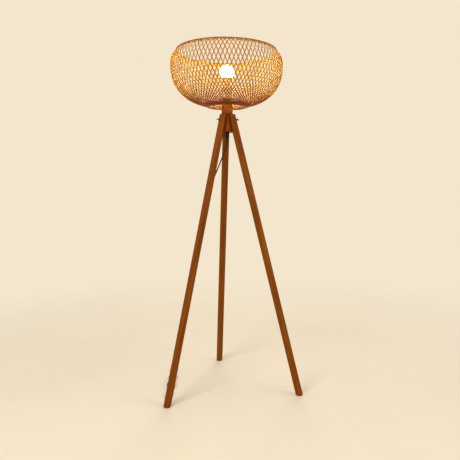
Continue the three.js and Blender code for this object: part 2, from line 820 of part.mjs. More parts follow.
function addShade() {
  add(lamp, "shade_outer_weave", weaveLayer(1, 0), finish.bamboo);
  const inner_depth = strip_thickness + layer_gap;
  add(lamp, "shade_inner_weave", weaveLayer(-1, inner_depth), finish.bamboo);
  const [edge, inside] = [wallAt(1, 0), wallAt(1, inner_depth + strip_thickness)];
  const cane = rim_cane_diameter / 2;
  const cane_rise = inside.z > edge.z ? inside.z : edge.z;
  const middle = (edge.r + inside.r) / 2;
  const rim_cane = new THREE.TorusGeometry(middle, cane, cane_sides, cane_steps);
  add(lamp, "rim_cane", rim_cane.translate(0, 0, cane_rise + seat_gap + cane), finish.cane);
}

// Cord, switch and plug

// Route from the cord grip to behind the left leg, down the leg and over the floor to the switch,
// measured from the lamp's axis
const cord_route = [
  [0, 0, 1090.4],
  [0, 0, 1083],
  [-0.6, -0.2, 1075.5],
  [-2.6, -0.9, 1066.5],
  [-6.4, -2.2, 1057],
  [-13.2, -4.6, 1041.5],
  [-21.6, -7.6, 1022.5],
  [-31.8, -11.3, 999],
  [-43.9, -15.6, 971],
  [-56.6, -20.2, 942.5],
  [-67.6, -24.1, 918.5],
  [-76.7, -27.3, 897.5],
  [-83.6, -30.5, 879.5],
  [-89.1, -33.4, 862],
  [-93.2, -35.7, 845],
  [-107.5, -43.9, 780],
  [-125, -54.1, 700],
  [-144.8, -65.5, 610],
  [-164.5, -76.9, 520],
  [-184.3, -88.3, 430],
  [-204, -99.7, 340],
  [-223.8, -111.1, 250],
  [-243.5, -122.5, 160],
  [-258.9, -131.3, 90],
  [-267.7, -136.4, 50],
  [-272.1, -139, 29.8],
  [-273.5, -138.8, 23.1],
  [-274.6, -136.8, 16.6],
  [-275.3, -133, 11],
  [-275.6, -127.8, 6.6],
  [-275.4, -121.5, 3.8],
  [-274.8, -114.8, 2.8],
  [-273.9, -106.6, 3.3],
  [-272.8, -96.7, 5.2],
  [-271.6, -86.8, 7.1],
  [-270.9, -80.8, 7.5],
];

// Routes along the floor run: along it, to its left, and up. The first leads from the switch to
// the hank, and the second from the hank to the plug.
const hank_route = [
  [120.6, 0, 7.5],
  [124, 0, 7.5],
  [130, -0.7, 7.3],
  [136, -2.7, 6.7],
  [143, -7.5, 5.9],
  [150, -12.3, 5],
  [156, -14.3, 4.5],
  [162, -15, 4.3],
  [166.4, -15, 4.3],
];
const plug_route = [
  [282.3, -15, 15.3],
  [288, -15, 15.3],
  [296, -14.1, 14.8],
  [303, -11.8, 13.6],
  [310, -7.5, 11.4],
  [317, -3.2, 9.2],
  [324, -0.9, 8],
  [332, 0, 7.5],
  [334.7, 0, 7.5],
];
const hank_middle = 222;

// A folded hank as one unbroken tube: long loops on top of each other, drawn in at the waist, which
// climb one layer along each left-hand run and end with one more right-hand run
function hankPoints() {
  const half = hank_run / 2;
  const straight = hank_run / run_steps / 2;
  const points = [];
  const runWidth = (along) => {
    const share = Math.max(0, Math.abs(along) - straight) / (half - straight);
    return hank_waist + (hank_end_radius - hank_waist) * Math.sin((share * Math.PI) / 2) ** 2;
  };
  const put = (along, left, layers) => {
    points.push([hank_middle + along, left, hank_rest + layers * hank_layer]);
  };
  put(-half - cord_diameter - seat_gap, -hank_end_radius, 0);
  for (let turn = 0; turn <= hank_turns; turn++) {
    for (let i = 0; i <= run_steps; i++) {
      const along = -half + (hank_run * i) / run_steps;
      put(along, -runWidth(along), turn);
    }
    if (turn === hank_turns) break;
    for (let i = 1; i < half_turn_steps; i++) {
      const angle = -Math.PI / 2 + (Math.PI * i) / half_turn_steps;
      put(half + hank_end_radius * Math.cos(angle), hank_end_radius * Math.sin(angle), turn);
    }
    for (let i = 0; i <= run_steps; i++) {
      const share = i / run_steps;
      const along = half - hank_run * share;
      put(along, runWidth(along), turn + share * share * (3 - 2 * share));
    }
    for (let i = 1; i < half_turn_steps; i++) {
      const angle = Math.PI / 2 + (Math.PI * i) / half_turn_steps;
      put(-half + hank_end_radius * Math.cos(angle), hank_end_radius * Math.sin(angle), turn + 1);
    }
  }
  put(half + cord_diameter, -hank_end_radius, hank_turns);
  put(half + 2 * cord_diameter, -hank_end_radius, hank_turns);
  return points;
}

// Least gap between stretches of a tube that lie at least half a turn apart along it
function leastSelfGap(points, diameter, apart) {
  const curve = new THREE.CatmullRomCurve3(points.map((p) => new THREE.Vector3(...p)), false, "centripetal");
  const samples = curve.getSpacedPoints(points.length * run_steps);
  const step = curve.getLength() / (samples.length - 1);
  const skip = Math.ceil(apart / step);
  let least = Infinity;
  for (let i = 0; i < samples.length; i++) {
    for (let j = i + skip; j < samples.length; j++) {
      least = Math.min(least, samples[i].distanceTo(samples[j]) - diameter);
    }
  }
  return { least, length: curve.getLength() };
}

// An outline with rounded corners, of points about the centre of a width by height rectangle
function roundedOutline(width, height, corner) {
  const points = [];
  const centres = [[1, 1], [-1, 1], [-1, -1], [1, -1]];
  centres.forEach(([sx, sy], quarter) => {
    for (let i = 0; i <= corner_steps; i++) {
      const angle = ((quarter + i / corner_steps) * Math.PI) / 2;
      points.push([
        sx * (width / 2 - corner) + corner * Math.cos(angle),
        sy * (height / 2 - corner) + corner * Math.sin(angle),
      ]);
    }
  });
  return points;
}

// A closed body lofted along X through rounded sections {along, width, height, corner, rise}
function loft(sections) {
  const rings = sections.map((s) =>
    roundedOutline(s.width, s.height, s.corner).map(([y, z]) => new THREE.Vector3(s.along, y, z + s.rise)),
  );
  const position = rings.flat().flatMap((p) => p.toArray());
  const count = rings[0].length;
  const index = [];
  for (let k = 1; k < rings.length; k++) {
    for (let i = 0; i < count; i++) {
      const [a, b] = [(k - 1) * count + i, (k - 1) * count + ((i + 1) % count)];
      index.push(a, b, b + count, a, b + count, a + count);
    }
  }
  const last = (rings.length - 1) * count;
  for (let i = 1; i < count - 1; i++) {
    index.push(0, i + 1, i);
    index.push(last, last + i, last + i + 1);
  }
  const geometry = new THREE.BufferGeometry();
  geometry.setAttribute("position", new THREE.Float32BufferAttribute(position, 3));
  geometry.setIndex(index);
  return geometry;
}

// The switch lies on the floor: a base, a cover with a pocket, and a rocker on two pins
function addSwitch(place) {
  const end = switch_start + switch_length;
  const middle = (switch_start + end) / 2;
  const section = (along, width) => ({
    along,
    width,
    height: switch_height,
    corner: switch_corner,
    rise: switch_height / 2,
  });
  const body = solid(loft([
    section(switch_start, switch_end_width),
    section(switch_start + switch_end_taper, switch_width),
    section(end - switch_end_taper, switch_width),
    section(end, switch_end_width),
  ]));
  const below = solid(box(switch_start - overrun, end + overrun, -switch_width, switch_width,
    -overrun, switch_split));
  const above = solid(box(switch_start - overrun, end + overrun, -switch_width, switch_width,
    switch_split + seat_gap, switch_height + overrun));
  const pocket_half = rocker_length / 2 + 2 * bore_gap;
  const pocket = solid(box(middle - pocket_half, middle + pocket_half,
    -rocker_width / 2 - bore_gap, rocker_width / 2 + bore_gap,
    rocker_pivot_height - pocket_depth, switch_height + overrun));
  const crossRod = (radius, length, sides) => solid(
    new THREE.CylinderGeometry(radius, radius, length, sides).translate(middle, 0, rocker_pivot_height),
  );
  const pin_span = rocker_width + 2 * rocker_pin_length;
  const pin_holes = crossRod(rocker_pin_diameter / 2 + bore_gap, pin_span + 2 * bore_gap, small_sides);
  addLoose(place, "switch_base", geometryOf(body.intersect(below)), finish.blackPlastic);
  addLoose(place, "switch_cover", geometryOf(body.intersect(above).subtract(pocket).subtract(pin_holes)),
    finish.blackPlastic);

  const half = rocker_length / 2;
  const profile = upright([
    [-half, -rocker_depth],
    [half, -rocker_depth],
    [half, rocker_crown],
    [0, rocker_crown - rocker_dip],
    [-half, rocker_crown],
  ], rocker_width).rotateY(rocker_tilt).translate(middle, 0, rocker_pivot_height);
  const rocker = solid(profile).add(crossRod(rocker_pin_diameter / 2, pin_span, small_sides));
  addLoose(place, "switch_rocker", geometryOf(rocker), finish.blackPlastic);
}

// Moulded plug with a tapered tail and two flat blades in pockets
function addPlug(place) {
  const body_start = plug_start + plug_tail_length;
  const body_end = body_start + plug_body_length;
  const middle_height = plug_height / 2;
  const section = (along, width, height, corner) => ({ along, width, height, corner, rise: middle_height });
  const tail = plug_tail_diameter;
  const body = solid(loft([
    section(plug_start, tail, tail, tail / 3),
    section(body_start, tail + plug_corner / 2, tail + plug_corner / 2, tail / 3),
    section(body_start + plug_corner, plug_width - plug_corner, plug_height - plug_corner / 2, plug_corner),
    section((body_start + body_end) / 2, plug_width, plug_height, plug_corner),
    section(body_end, plug_width - plug_corner / 2, plug_height - plug_corner / 2, plug_corner),
  ]));
  const bladeBox = (side, gap) => {
    const centre = (side * blade_spacing) / 2;
    return box(body_end - blade_root - gap, body_end + blade_reach,
      centre - blade_thickness / 2 - gap, centre + blade_thickness / 2 + gap,
      middle_height - blade_width / 2 - gap, middle_height + blade_width / 2 + gap);
  };
  const pockets = solid(bladeBox(-1, seat_gap)).add(solid(bladeBox(1, seat_gap)));
  addLoose(place, "plug_body", geometryOf(body.subtract(pockets)), finish.blackPlastic);
  addLoose(place, "plug_blade_left", bladeBox(1, 0), finish.brass);
  addLoose(place, "plug_blade_right", bladeBox(-1, 0), finish.brass);
}

// A flat band round the waist of the hank
function tieGeometry() {
  const inside_width = 2 * (hank_waist + cord_radius + bore_gap);
  const bottom = tie_rest + tie_wall;
  const inside_height = hank_rest + hank_turns * hank_layer + cord_radius + bore_gap - bottom;
  const band = (width, height, length) => solid(
    loft([-length / 2, length / 2].map((along) => ({
      along: hank_middle + along,
      width,
      height,
      corner: cord_radius,
      rise: bottom + inside_height / 2,
    }))),
  );
  const outside = band(inside_width + 2 * tie_wall, inside_height + 2 * tie_wall, tie_length);
  return geometryOf(outside.subtract(band(inside_width, inside_height, tie_length + overrun)));
}

function addCord() {
  addLoose(lamp, "cord_to_switch", cordTube(cord_route, cord_radius, cord_sides), finish.cordSheath);
  const place = new THREE.Group();
  place.position.set(...floor_start);
  place.rotation.z = floor_heading;
  lamp.add(place);
  addSwitch(place);
  addLoose(place, "cord_to_hank", cordTube(hank_route, cord_radius, cord_sides), finish.cordSheath);
  const hank = hankPoints();
  addLoose(place, "cord_hank", cordTube(hank, cord_radius, hank_sides), finish.cordSheath);
  addLoose(place, "hank_tie", tieGeometry(), finish.blackPlastic);
  addLoose(place, "cord_to_plug", cordTube(plug_route, cord_radius, cord_sides), finish.cordSheath);
  addPlug(place);
  const measured = leastSelfGap(hank, cord_diameter, Math.PI * hank_end_radius);
  console.log("hank: length " + measured.length.toFixed(0) + " mm, least gap to itself "
    + measured.least.toFixed(2) + " mm");
}

addTripod();
addColumn();
addBulb();
addShade();
addCord();

// The origin is under the middle of the lamp's own box, without the loose cord
lamp.updateMatrixWorld(true);
const own_box = new THREE.Box3();
lamp.traverse((piece) => {
  if (piece.isMesh && !looseNames.has(piece.name)) own_box.expandByObject(piece, true);
});
const own_middle = own_box.getCenter(new THREE.Vector3());
lamp.position.set(-own_middle.x, -own_middle.y, 0);

const part = new THREE.Group();
part.add(lamp);

export default part;
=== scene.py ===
"""Tripod floor lamp with a woven bamboo bowl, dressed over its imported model.

Metres, +Z up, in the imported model's frame. Shapes are worked out round the lamp's own axis, in a
leg's frame or along the floor run of the cord, and then placed.
"""

import math
from functools import partial

import bmesh
import bpy
import numpy as np
from bpy.props import FloatProperty, FloatVectorProperty, IntProperty, PointerProperty
from mathutils import Euler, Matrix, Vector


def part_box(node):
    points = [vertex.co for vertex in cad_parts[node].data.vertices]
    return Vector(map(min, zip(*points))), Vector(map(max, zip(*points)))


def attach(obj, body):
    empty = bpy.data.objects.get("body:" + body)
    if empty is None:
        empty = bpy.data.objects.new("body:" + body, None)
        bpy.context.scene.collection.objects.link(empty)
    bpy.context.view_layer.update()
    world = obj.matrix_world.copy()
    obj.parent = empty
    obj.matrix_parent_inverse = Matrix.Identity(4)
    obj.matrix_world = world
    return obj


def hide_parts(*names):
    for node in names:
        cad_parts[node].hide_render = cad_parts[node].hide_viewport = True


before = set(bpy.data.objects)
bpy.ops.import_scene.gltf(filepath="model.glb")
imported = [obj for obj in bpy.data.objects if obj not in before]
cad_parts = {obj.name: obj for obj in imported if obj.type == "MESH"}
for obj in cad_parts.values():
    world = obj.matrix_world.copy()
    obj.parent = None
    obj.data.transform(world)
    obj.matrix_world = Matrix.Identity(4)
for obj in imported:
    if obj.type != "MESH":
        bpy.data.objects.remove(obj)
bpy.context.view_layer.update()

bl_info = {
    "name": "Woven bowl floor lamp",
    "version": (1, 0, 0),
    "blender": (4, 5, 0),
    "location": "3D View > Sidebar > Lamp",
    "description": "Builds a tripod floor lamp with a woven bamboo bowl over its packed model",
    "category": "Add Mesh",
}

# The lamp's axis, through the middle of the cup
CUP_LOW, CUP_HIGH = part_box("holder_cup")
AXIS = np.array([(CUP_LOW.x + CUP_HIGH.x) / 2, (CUP_LOW.y + CUP_HIGH.y) / 2, 0.0])

# Shared by all pieces
UP = np.array([0.0, 0.0, 1.0])
FIT = 0.0003  # between pieces that lie on each other
TIP = 0.0001  # radius of the small face that closes a turned solid on its axis

# Tripod
SIDES = ("rear", "left", "right")
FOOT_CIRCLE = 0.324  # of the legs' axes, on the floor
SCREW_CIRCLE = 0.02657  # of the legs' axes, at the screws
SCREW_HEIGHT = 1.175
LEAN = math.atan((FOOT_CIRCLE - SCREW_CIRCLE) / SCREW_HEIGHT)
PAD_RADIUS = 0.0135
PAD_HEIGHT = 0.003
LEG_BOTTOM = PAD_HEIGHT + FIT
LEG_TOP = 1.199
SEAT_TOP = 0.0075  # how far inside the leg's axis its flat lies, at the leg's top
SEAT_BOTTOM = 0.0135  # and at the hub's bottom
SPOT_PLACE = 0.039233  # distance from the lamp's axis of the faces that the washers lie on
SPOT_RADIUS = 0.00635
SCREW_HOLE = 0.00335
INSERT_HOLE = 0.0051
INSERT_END = 0.00843
BOSS_PLACE = SPOT_PLACE + 0.0021  # of the inner end of the screws' bosses
WING_HALF = 0.0012  # half a wing's thickness
OUTSIDE = 0.06  # from the lamp's axis, clear of the legs' outer sides
BOARD_TURN = 2.1  # by which the next leg's grain is turned
BOARD_SHIFT = np.array([0.004, -0.006, 1.7])

# Hub
HUB_BOTTOM = 1.124
HUB_FOOT_RADIUS = 0.036
HUB_HEAD_RADIUS = 0.0236
COLLAR_BOTTOM = LEG_TOP + FIT
COLLAR_TOP = 1.2283
COLLAR_RADIUS = 0.0235
HUB_HEART = np.array([0.012, 0.004, 0])  # how far its axis lies from the heart of the wood
BORE_RADIUS = 0.00535  # round the threaded tube, in every piece that stands on it

# Spider
SPIDER_LOW = COLLAR_TOP + FIT
SPIDER_HIGH = SPIDER_LOW + 0.0015

# Bowl: a superellipse, in two halves that meet at the belly
BELLY_RADIUS = 0.2375
BOWL_DEPTH = 0.177  # of the lower half, if it closed on the axis
BOWL_CROWN = 0.098  # of the upper half, if it closed on the axis
BOWL_POWER = 2.4
OPENING_RADIUS = 0.080
OPENING_HEIGHT = SPIDER_HIGH + FIT
RIM_RADIUS = 0.211
WALL = 0.0035
RIM_CANE_RADIUS = 0.2099
RIM_CANE_HEIGHT = 1.4594

# Weave: distances along the wall are from the opening's edge, and from the rim where it says so
TANGENT_RADIUS = 0.092  # of the circle that a strip's line would touch
STEEPEST = 0.97  # the largest sine of a strip's slant
FIRST_RUN = 0.0135
LAST_GAP = 0.0012  # from the rim
NARROW_RADII = (0.11, 0.18)  # between which the strips reach their full width
NARROWEST = 0.7
FULLEST = 0.86  # share of the space between two strips that a strip may fill
TIGHT_RADII = (0.098, 0.165)  # between which they reach their full thickness and play
TIGHT_RIM = (0.013, 0.006)  # distances from the rim over which they lose both again
THINNEST = 0.42
LEAST_PLAY = 0.0003
SNUG = 0.0001  # between a strip or a binding and what it touches
BASE_HOOP_RUNS = (0.0023, 0.0068, 0.0113, 0.0158)
BASE_HOOP = (0.0043, 0.0012)  # width and thickness
RIM_HOOP = (0.0036, 0.0009)
RIM_HOOP_GAP = 0.0022  # from the rim
BINDING_WIDTH = 0.0028
BINDING_THICKNESS = 0.0005
BINDING_REACH = 0.0044  # from the rim

# Floor run of the cord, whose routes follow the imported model's
FLOOR_START = np.array([-0.278, -0.1424, 0.0])
FLOOR_HEADING = math.radians(83.41)
CORD_LINE = 0.0075  # height of the cord's middle in the switch and the plug
CORD_ROUTE = np.array([
    (0.0, 0.0, 1.0904), (0.0, 0.0, 1.083), (-0.0006, -0.0002, 1.0755),
    (-0.0026, -0.0009, 1.0665), (-0.0064, -0.0022, 1.057), (-0.0132, -0.0046, 1.0415),
    (-0.0216, -0.0076, 1.0225), (-0.0318, -0.0113, 0.999), (-0.0439, -0.0156, 0.971),
    (-0.0566, -0.0202, 0.9425), (-0.0676, -0.0241, 0.9185), (-0.0767, -0.0273, 0.8975),
    (-0.0836, -0.0305, 0.8795), (-0.0891, -0.0334, 0.862), (-0.0932, -0.0357, 0.845),
    (-0.1075, -0.0439, 0.78), (-0.125, -0.0541, 0.7), (-0.1448, -0.0655, 0.61),
    (-0.1645, -0.0769, 0.52), (-0.1843, -0.0883, 0.43), (-0.204, -0.0997, 0.34),
    (-0.2238, -0.1111, 0.25), (-0.2435, -0.1225, 0.16), (-0.2589, -0.1313, 0.09),
    (-0.2677, -0.1364, 0.05), (-0.2721, -0.139, 0.0298), (-0.2735, -0.1388, 0.0231),
    (-0.2746, -0.1368, 0.0166), (-0.2753, -0.133, 0.011), (-0.2756, -0.1278, 0.0066),
    (-0.2754, -0.1215, 0.0038), (-0.2748, -0.1148, 0.0028), (-0.2739, -0.1066, 0.0033),
    (-0.2728, -0.0967, 0.0052), (-0.2716, -0.0868, 0.0071), (-0.2709, -0.0808, 0.0075),
])
HANK_ROUTE = np.array([
    (0.1206, 0.0, 0.0075), (0.124, 0.0, 0.0075), (0.13, -0.0007, 0.0073),
    (0.136, -0.0027, 0.0067), (0.143, -0.0075, 0.0059), (0.15, -0.0123, 0.005),
    (0.156, -0.0143, 0.0045), (0.162, -0.015, 0.0043), (0.1664, -0.015, 0.0043),
])
PLUG_ROUTE = np.array([
    (0.2823, -0.015, 0.0153), (0.288, -0.015, 0.0153), (0.296, -0.0141, 0.0148),
    (0.303, -0.0118, 0.0136), (0.31, -0.0075, 0.0114), (0.317, -0.0032, 0.0092),
    (0.324, -0.0009, 0.008), (0.332, 0.0, 0.0075), (0.3347, 0.0, 0.0075),
])

# Hank
HANK_MIDDLE = 0.222
HANK_RUN = 0.1  # length of its straight part
HANK_END = 0.015  # radius of its folds
HANK_WAIST = 0.0066  # half its width under the tie
HANK_LAYER = 0.0055
HANK_REST = 0.0043  # height of its lowest layer's middle
HANK_TURNS = 2
BAND_LOW = 0.0014

# Cord clips on the left leg
CLIP_HEIGHTS = (0.838, 0.64, 0.44, 0.24, 0.078)
CLIP_HALF = 0.00465  # half the width of a clip
CLIP_DROP = 0.00403  # of its sole below the cord's middle
CLIP_HOLE = 0.0029
CLIP_REACH = 0.01935  # of the cord's middle from the leg's axis
CLIP_SIDE = math.radians(-125.7)  # direction from the leg's axis to the cord

# Switch
SWITCH_START = 0.0623
SWITCH_LENGTH = 0.058
SWITCH_END = SWITCH_START + SWITCH_LENGTH
SWITCH_MIDDLE = (SWITCH_START + SWITCH_END) / 2
SWITCH_THICKNESS = 0.0145
SWITCH_CENTRE = SWITCH_THICKNESS / 2  # height of its section's middle
BASE_TOP = 0.006
COVER_BOTTOM = BASE_TOP + FIT
POCKET_LENGTH = 0.021  # of the rocker's pocket in the cover
POCKET_WIDTH = 0.0107
POCKET_FLOOR = 0.0069
PIVOT_HEIGHT = 0.0112
ROCKER_REST = math.radians(7)

# Plug
PLUG_START = 0.335
PLUG_END = 0.381
TAIL_END = 0.351
BLADE_OFFSET = 0.00635
BLADE_START = 0.374
BLADE_END = 0.398
BLADE_WIDTH = 0.0063
BLADE_THICKNESS = 0.0015


def linear(code):
    """A colour of six hex digits, as the linear values that a socket holds."""
    parts = [int(code[i:i + 2], 16) / 255 for i in (0, 2, 4)]
    return tuple(p / 12.92 if p <= 0.04045 else ((p + 0.055) / 1.055) ** 2.4 for p in parts)


def length_property(name, description, default, low, high):
    """A size in metres that a user may change."""
    return FloatProperty(name=name, description=description, default=default, min=low, max=high,
                         unit="LENGTH", subtype="DISTANCE", precision=4)


def colour_property(name, description, code):
    """A colour that a user may change."""
    return FloatVectorProperty(name=name, description=description, default=linear(code), size=3,
                               min=0.0, max=1.0, subtype="COLOR")


class LampSizes(bpy.types.PropertyGroup):
    """Sizes of the lamp that a user would change."""

    leg_diameter: length_property(
        "Leg diameter", "Thickness of the round legs", 0.03, 0.02, 0.031)
    leg_ease: length_property(
        "Leg edge", "Rounding of the legs' level ends", 0.0012, 0.0004, 0.003)
    strip_count: IntProperty(
        name="Strips", description="Bamboo strips that slant each way", default=88, min=40, max=120)
    strip_width: length_property(
        "Strip width", "Width of a strip at the belly", 0.0042, 0.002, 0.006)
    strip_thickness: length_property(
        "Strip thickness", "Thickness of a strip", 0.0012, 0.0006, 0.0014)
    rim_cane_diameter: length_property(
        "Rim cane", "Thickness of the cane on the rim", 0.005, 0.003, 0.006)
    lashing_count: IntProperty(
        name="Lashings", description="Bindings round the rim", default=44, min=8, max=88)
    bulb_diameter: length_property(
        "Bulb", "Diameter of the opal globe", 0.06, 0.045, 0.06)
    cord_diameter: length_property(
        "Cord", "Thickness of the cord", 0.005, 0.003, 0.006)
    glow: FloatProperty(
        name="Glow", description="Strength of the lit globe", default=95.0, min=0.0, max=200.0)


class LampColours(bpy.types.PropertyGroup):
    """Colours of the lamp and of the studio that a user would change."""

    leg_wood: colour_property("Leg wood", "Light tone of the legs", "904d06")
    leg_grain: colour_property("Leg grain", "Dark tone of the legs' grain", "5e2a00")
    hub_wood: colour_property("Hub wood", "Light tone of the hub", "8a4608")
    hub_grain: colour_property("Hub grain", "Dark tone of the hub's grain", "562400")
    # Painted light: the collar's lighter tone stands in for the bulb's light falling on it
    collar_wood: colour_property("Collar", "Light tone of the hub's collar", "c06410")
    bamboo: colour_property("Bamboo", "Light tone of the strips", "cc902c")
    bamboo_inside: colour_property("Bamboo inside", "Tone of the strips' inner side", "ebc065")
    bamboo_dark: colour_property("Bamboo fibres", "Dark tone of the strips", "9a6014")
    cane: colour_property("Cane", "Light tone of the hoops and the rim", "c98d2c")
    cane_dark: colour_property("Cane fibres", "Dark tone of the hoops and the rim", "965e16")
    # Painted shade of the weave towards the bowl's opening, and the tone that the rim darkens to
    base_tone: colour_property("Base of the bowl", "Tone of the weave at the opening", "863804")
    black_steel: colour_property("Dark steel", "Coated screws and washers", "6e4520")
    bronzed_steel: colour_property("Bronzed steel", "Spider and cup", "a05a1c")
    bright_steel: colour_property("Bright steel", "Tube, nut and bulb cap", "b4b4b2")
    brass: colour_property("Brass", "Inserts, contacts and blades", "c09a4e")
    black_plastic: colour_property("Black plastic", "Grip, switch, clips and plug", "140d08")
    cord: colour_property("Cord", "Sheath of the cord", "120b06")
    ceramic: colour_property("Ceramic", "Insulating block", "e8e4da")
    white_plastic: colour_property("White plastic", "Lampholder and bulb's skirt", "f1dcae")
    globe: colour_property("Globe", "Opal globe", "fff0d0")
    glow: colour_property("Glow", "Light of the globe", "ffe09a")
    felt: colour_property("Felt", "Pads under the legs", "33291f")
    floor: colour_property("Floor", "Studio floor", "efe1c8")
    backdrop: colour_property("Backdrop", "Studio background", "f3e6cd")


def sizes():
    """The sizes now set in the scene."""
    return bpy.context.scene.woven_lamp_sizes


def colours():
    """The colours now set in the scene."""
    return bpy.context.scene.woven_lamp_colours


# Outlines and grids


def round_steps(count):
    """Angles of as many even steps round a circle."""
    return 2 * np.pi * np.arange(count) / count


def parabola(start, corner, end, s):
    """Points at the shares s of the curve that sets out towards the corner and comes in from it."""
    return (1 - s) ** 2 * start + 2 * s * (1 - s) * corner + s ** 2 * end


def smooth_step(value, low, high):
    """0 below low, 1 above high, and a smooth rise between."""
    share = np.clip((value - low) / (high - low), 0, 1)
    return share * share * (3 - 2 * share)


def rectangle(left, right, low, high):
    """Corners of a rectangle, counter-clockwise."""
    return [(left, low), (right, low), (right, high), (left, high)]


def eased(corners, ease, steps=3, closed=True):
    """Outline with rounded corners: each is a parabola that starts and ends `ease` away from it."""
    corners = np.asarray(corners, float)
    before = np.roll(corners, 1, 0) - corners
    after = np.roll(corners, -1, 0) - corners
    reach_before = np.linalg.norm(before, axis=1)
    reach_after = np.linalg.norm(after, axis=1)
    back = np.minimum(ease, 0.48 * np.minimum(reach_before, reach_after))[:, None]
    start = corners + before / reach_before[:, None] * back
    end = corners + after / reach_after[:, None] * back
    s = np.linspace(0, 1, steps + 1)[None, :, None]
    rounds = parabola(start[:, None], corners[:, None], end[:, None], s)
    if not closed:
        return np.concatenate([corners[:1], rounds[1:-1].reshape(-1, 2), corners[-1:]])
    return rounds.reshape(-1, 2)


def polar(radius, angle, height):
    """Points at a radius and an angle about the axis, and at a height."""
    points = np.broadcast_arrays(radius * np.cos(angle), radius * np.sin(angle), height)
    return np.stack(points, -1)


def turned(profile, sides):
    """Surface of revolution: each [radius, height] point of the profile runs round the axis."""
    radius, height = np.asarray(profile, float).T[:, :, None]
    return polar(radius, round_steps(sides), height)


def stacked(sections, heights):
    """Flat outlines, one for each height, lifted to it."""
    height = np.broadcast_to(np.reshape(heights, (-1, 1, 1)), (*sections.shape[:2], 1))
    return np.concatenate([sections, height], -1)


def pillow(outline, low, high, ease, steps=3):
    """Plate from `low` to `high`: its outline steps in along a quarter circle at both faces."""
    outline = np.asarray(outline, float)
    along = np.roll(outline, -1, 0) - np.roll(outline, 1, 0)
    outwards = np.stack([along[:, 1], -along[:, 0]], -1) / np.linalg.norm(along, axis=1)[:, None]
    turn = np.linspace(0, np.pi / 2, steps + 1)
    inset = ease * (1 - np.sin(turn))
    rise = ease * (1 - np.cos(turn))
    inset = np.concatenate([inset, inset[::-1]])
    height = np.concatenate([low + rise, high - rise[::-1]])
    return stacked(outline[None] - outwards[None] * inset[:, None, None], height)


def block(left, right, low, high, bottom, top):
    """Box with sharp edges."""
    outline = np.array(rectangle(left, right, low, high), float)
    return stacked(np.stack([outline, outline]), [bottom, top])


def sleeve(outer, inner, low, high, ease):
    """Closed sleeve between two outlines of as many points, its outer edges cut at a slant."""
    drawn = outer + (inner - outer) * (ease / np.linalg.norm(inner - outer, axis=1))[:, None]
    rows = np.stack([inner, drawn, outer, outer, drawn, inner])
    return stacked(rows, [low, low, low + ease, high - ease, high, high])


def rounded(width, height, corner, steps=5):
    """Rounded rectangles about the origin, one for each width, height and corner radius."""
    width, height, corner = (np.asarray(v, float)[..., None, None] for v in (width, height, corner))
    quarter = np.arange(4)[:, None]
    angle = (quarter + np.arange(steps + 1) / steps) * np.pi / 2
    sign_x = np.array([1, -1, -1, 1])[:, None]
    sign_y = np.array([1, 1, -1, -1])[:, None]
    x = sign_x * (width / 2 - corner) + corner * np.cos(angle)
    y = sign_y * (height / 2 - corner) + corner * np.sin(angle)
    points = np.stack([x, y], -1)
    return points.reshape(*points.shape[:-3], -1, 2)


def distances(points):
    """Distance run along a line of points, at each of them."""
    return np.concatenate([[0], np.cumsum(np.linalg.norm(np.diff(points, axis=0), axis=1))])


def smooth_route(points, steps):
    """Centripetal Catmull-Rom curve through the points, with as many steps between each two."""
    p = np.concatenate([[2 * points[0] - points[1]], points, [2 * points[-1] - points[-2]]])
    knots = np.concatenate([[0], np.cumsum(np.linalg.norm(np.diff(p, axis=0), axis=1) ** 0.5)])
    t0, t1, t2, t3 = (knots[i:len(knots) - 3 + i, None, None] for i in range(4))
    p0, p1, p2, p3 = (p[i:len(p) - 3 + i, None] for i in range(4))
    t = t1 + (t2 - t1) * np.linspace(0, 1, steps, endpoint=False)[None, :, None]
    a1 = (t1 - t) / (t1 - t0) * p0 + (t - t0) / (t1 - t0) * p1
    a2 = (t2 - t) / (t2 - t1) * p1 + (t - t1) / (t2 - t1) * p2
    a3 = (t3 - t) / (t3 - t2) * p2 + (t - t2) / (t3 - t2) * p3
    b1 = (t2 - t) / (t2 - t0) * a1 + (t - t0) / (t2 - t0) * a2
    b2 = (t3 - t) / (t3 - t1) * a2 + (t - t1) / (t3 - t1) * a3
    curve = (t2 - t) / (t2 - t1) * b1 + (t - t1) / (t2 - t1) * b2
    return np.concatenate([curve.reshape(-1, 3), points[-1:]])


def tube(path, reference, radius, sides):
    """Circle carried along a path; the reference vectors, square to the path, start each circle."""
    ahead = np.gradient(path, axis=0)
    ahead /= np.linalg.norm(ahead, axis=1)[:, None]
    first = reference - np.sum(reference * ahead, 1)[:, None] * ahead
    first /= np.linalg.norm(first, axis=1)[:, None]
    second = np.cross(ahead, first)
    angle = round_steps(sides)[None, :, None]
    around = first[:, None] * np.cos(angle) + second[:, None] * np.sin(angle)
    return path[:, None] + radius * around


# Places


def about_axis(points, angle):
    """Points turned about the vertical axis."""
    c, s = math.cos(angle), math.sin(angle)
    x, y, z = np.moveaxis(np.asarray(points, float), -1, 0)
    return np.stack([x * c - y * s, x * s + y * c, z], -1)


def side_angle(side):
    """Direction of a leg from the lamp's axis; the rear one stands towards +Y."""
    return math.pi / 2 + side * 2 * math.pi / len(SIDES)


def on_lamp(points):
    """From the lamp's axis to the model's frame."""
    return np.asarray(points, float) + AXIS


def on_side(points, side):
    """From a leg's plane, with the leg towards +X, to that side of the lamp."""
    return on_lamp(about_axis(points, side_angle(side)))


def on_each_side(points):
    """A shape made towards +X, turned about the lamp's axis towards each leg."""
    return [about_axis(points, side_angle(side)) for side in range(len(SIDES))]


def leaning(points):
    """From a leg's own frame, upright on its foot, to where it leans towards the axis."""
    x, y, z = np.moveaxis(np.asarray(points, float), -1, 0)
    c, s = math.cos(LEAN), math.sin(LEAN)
    return np.stack([FOOT_CIRCLE + x * c - z * s, y, x * s + z * c], -1)


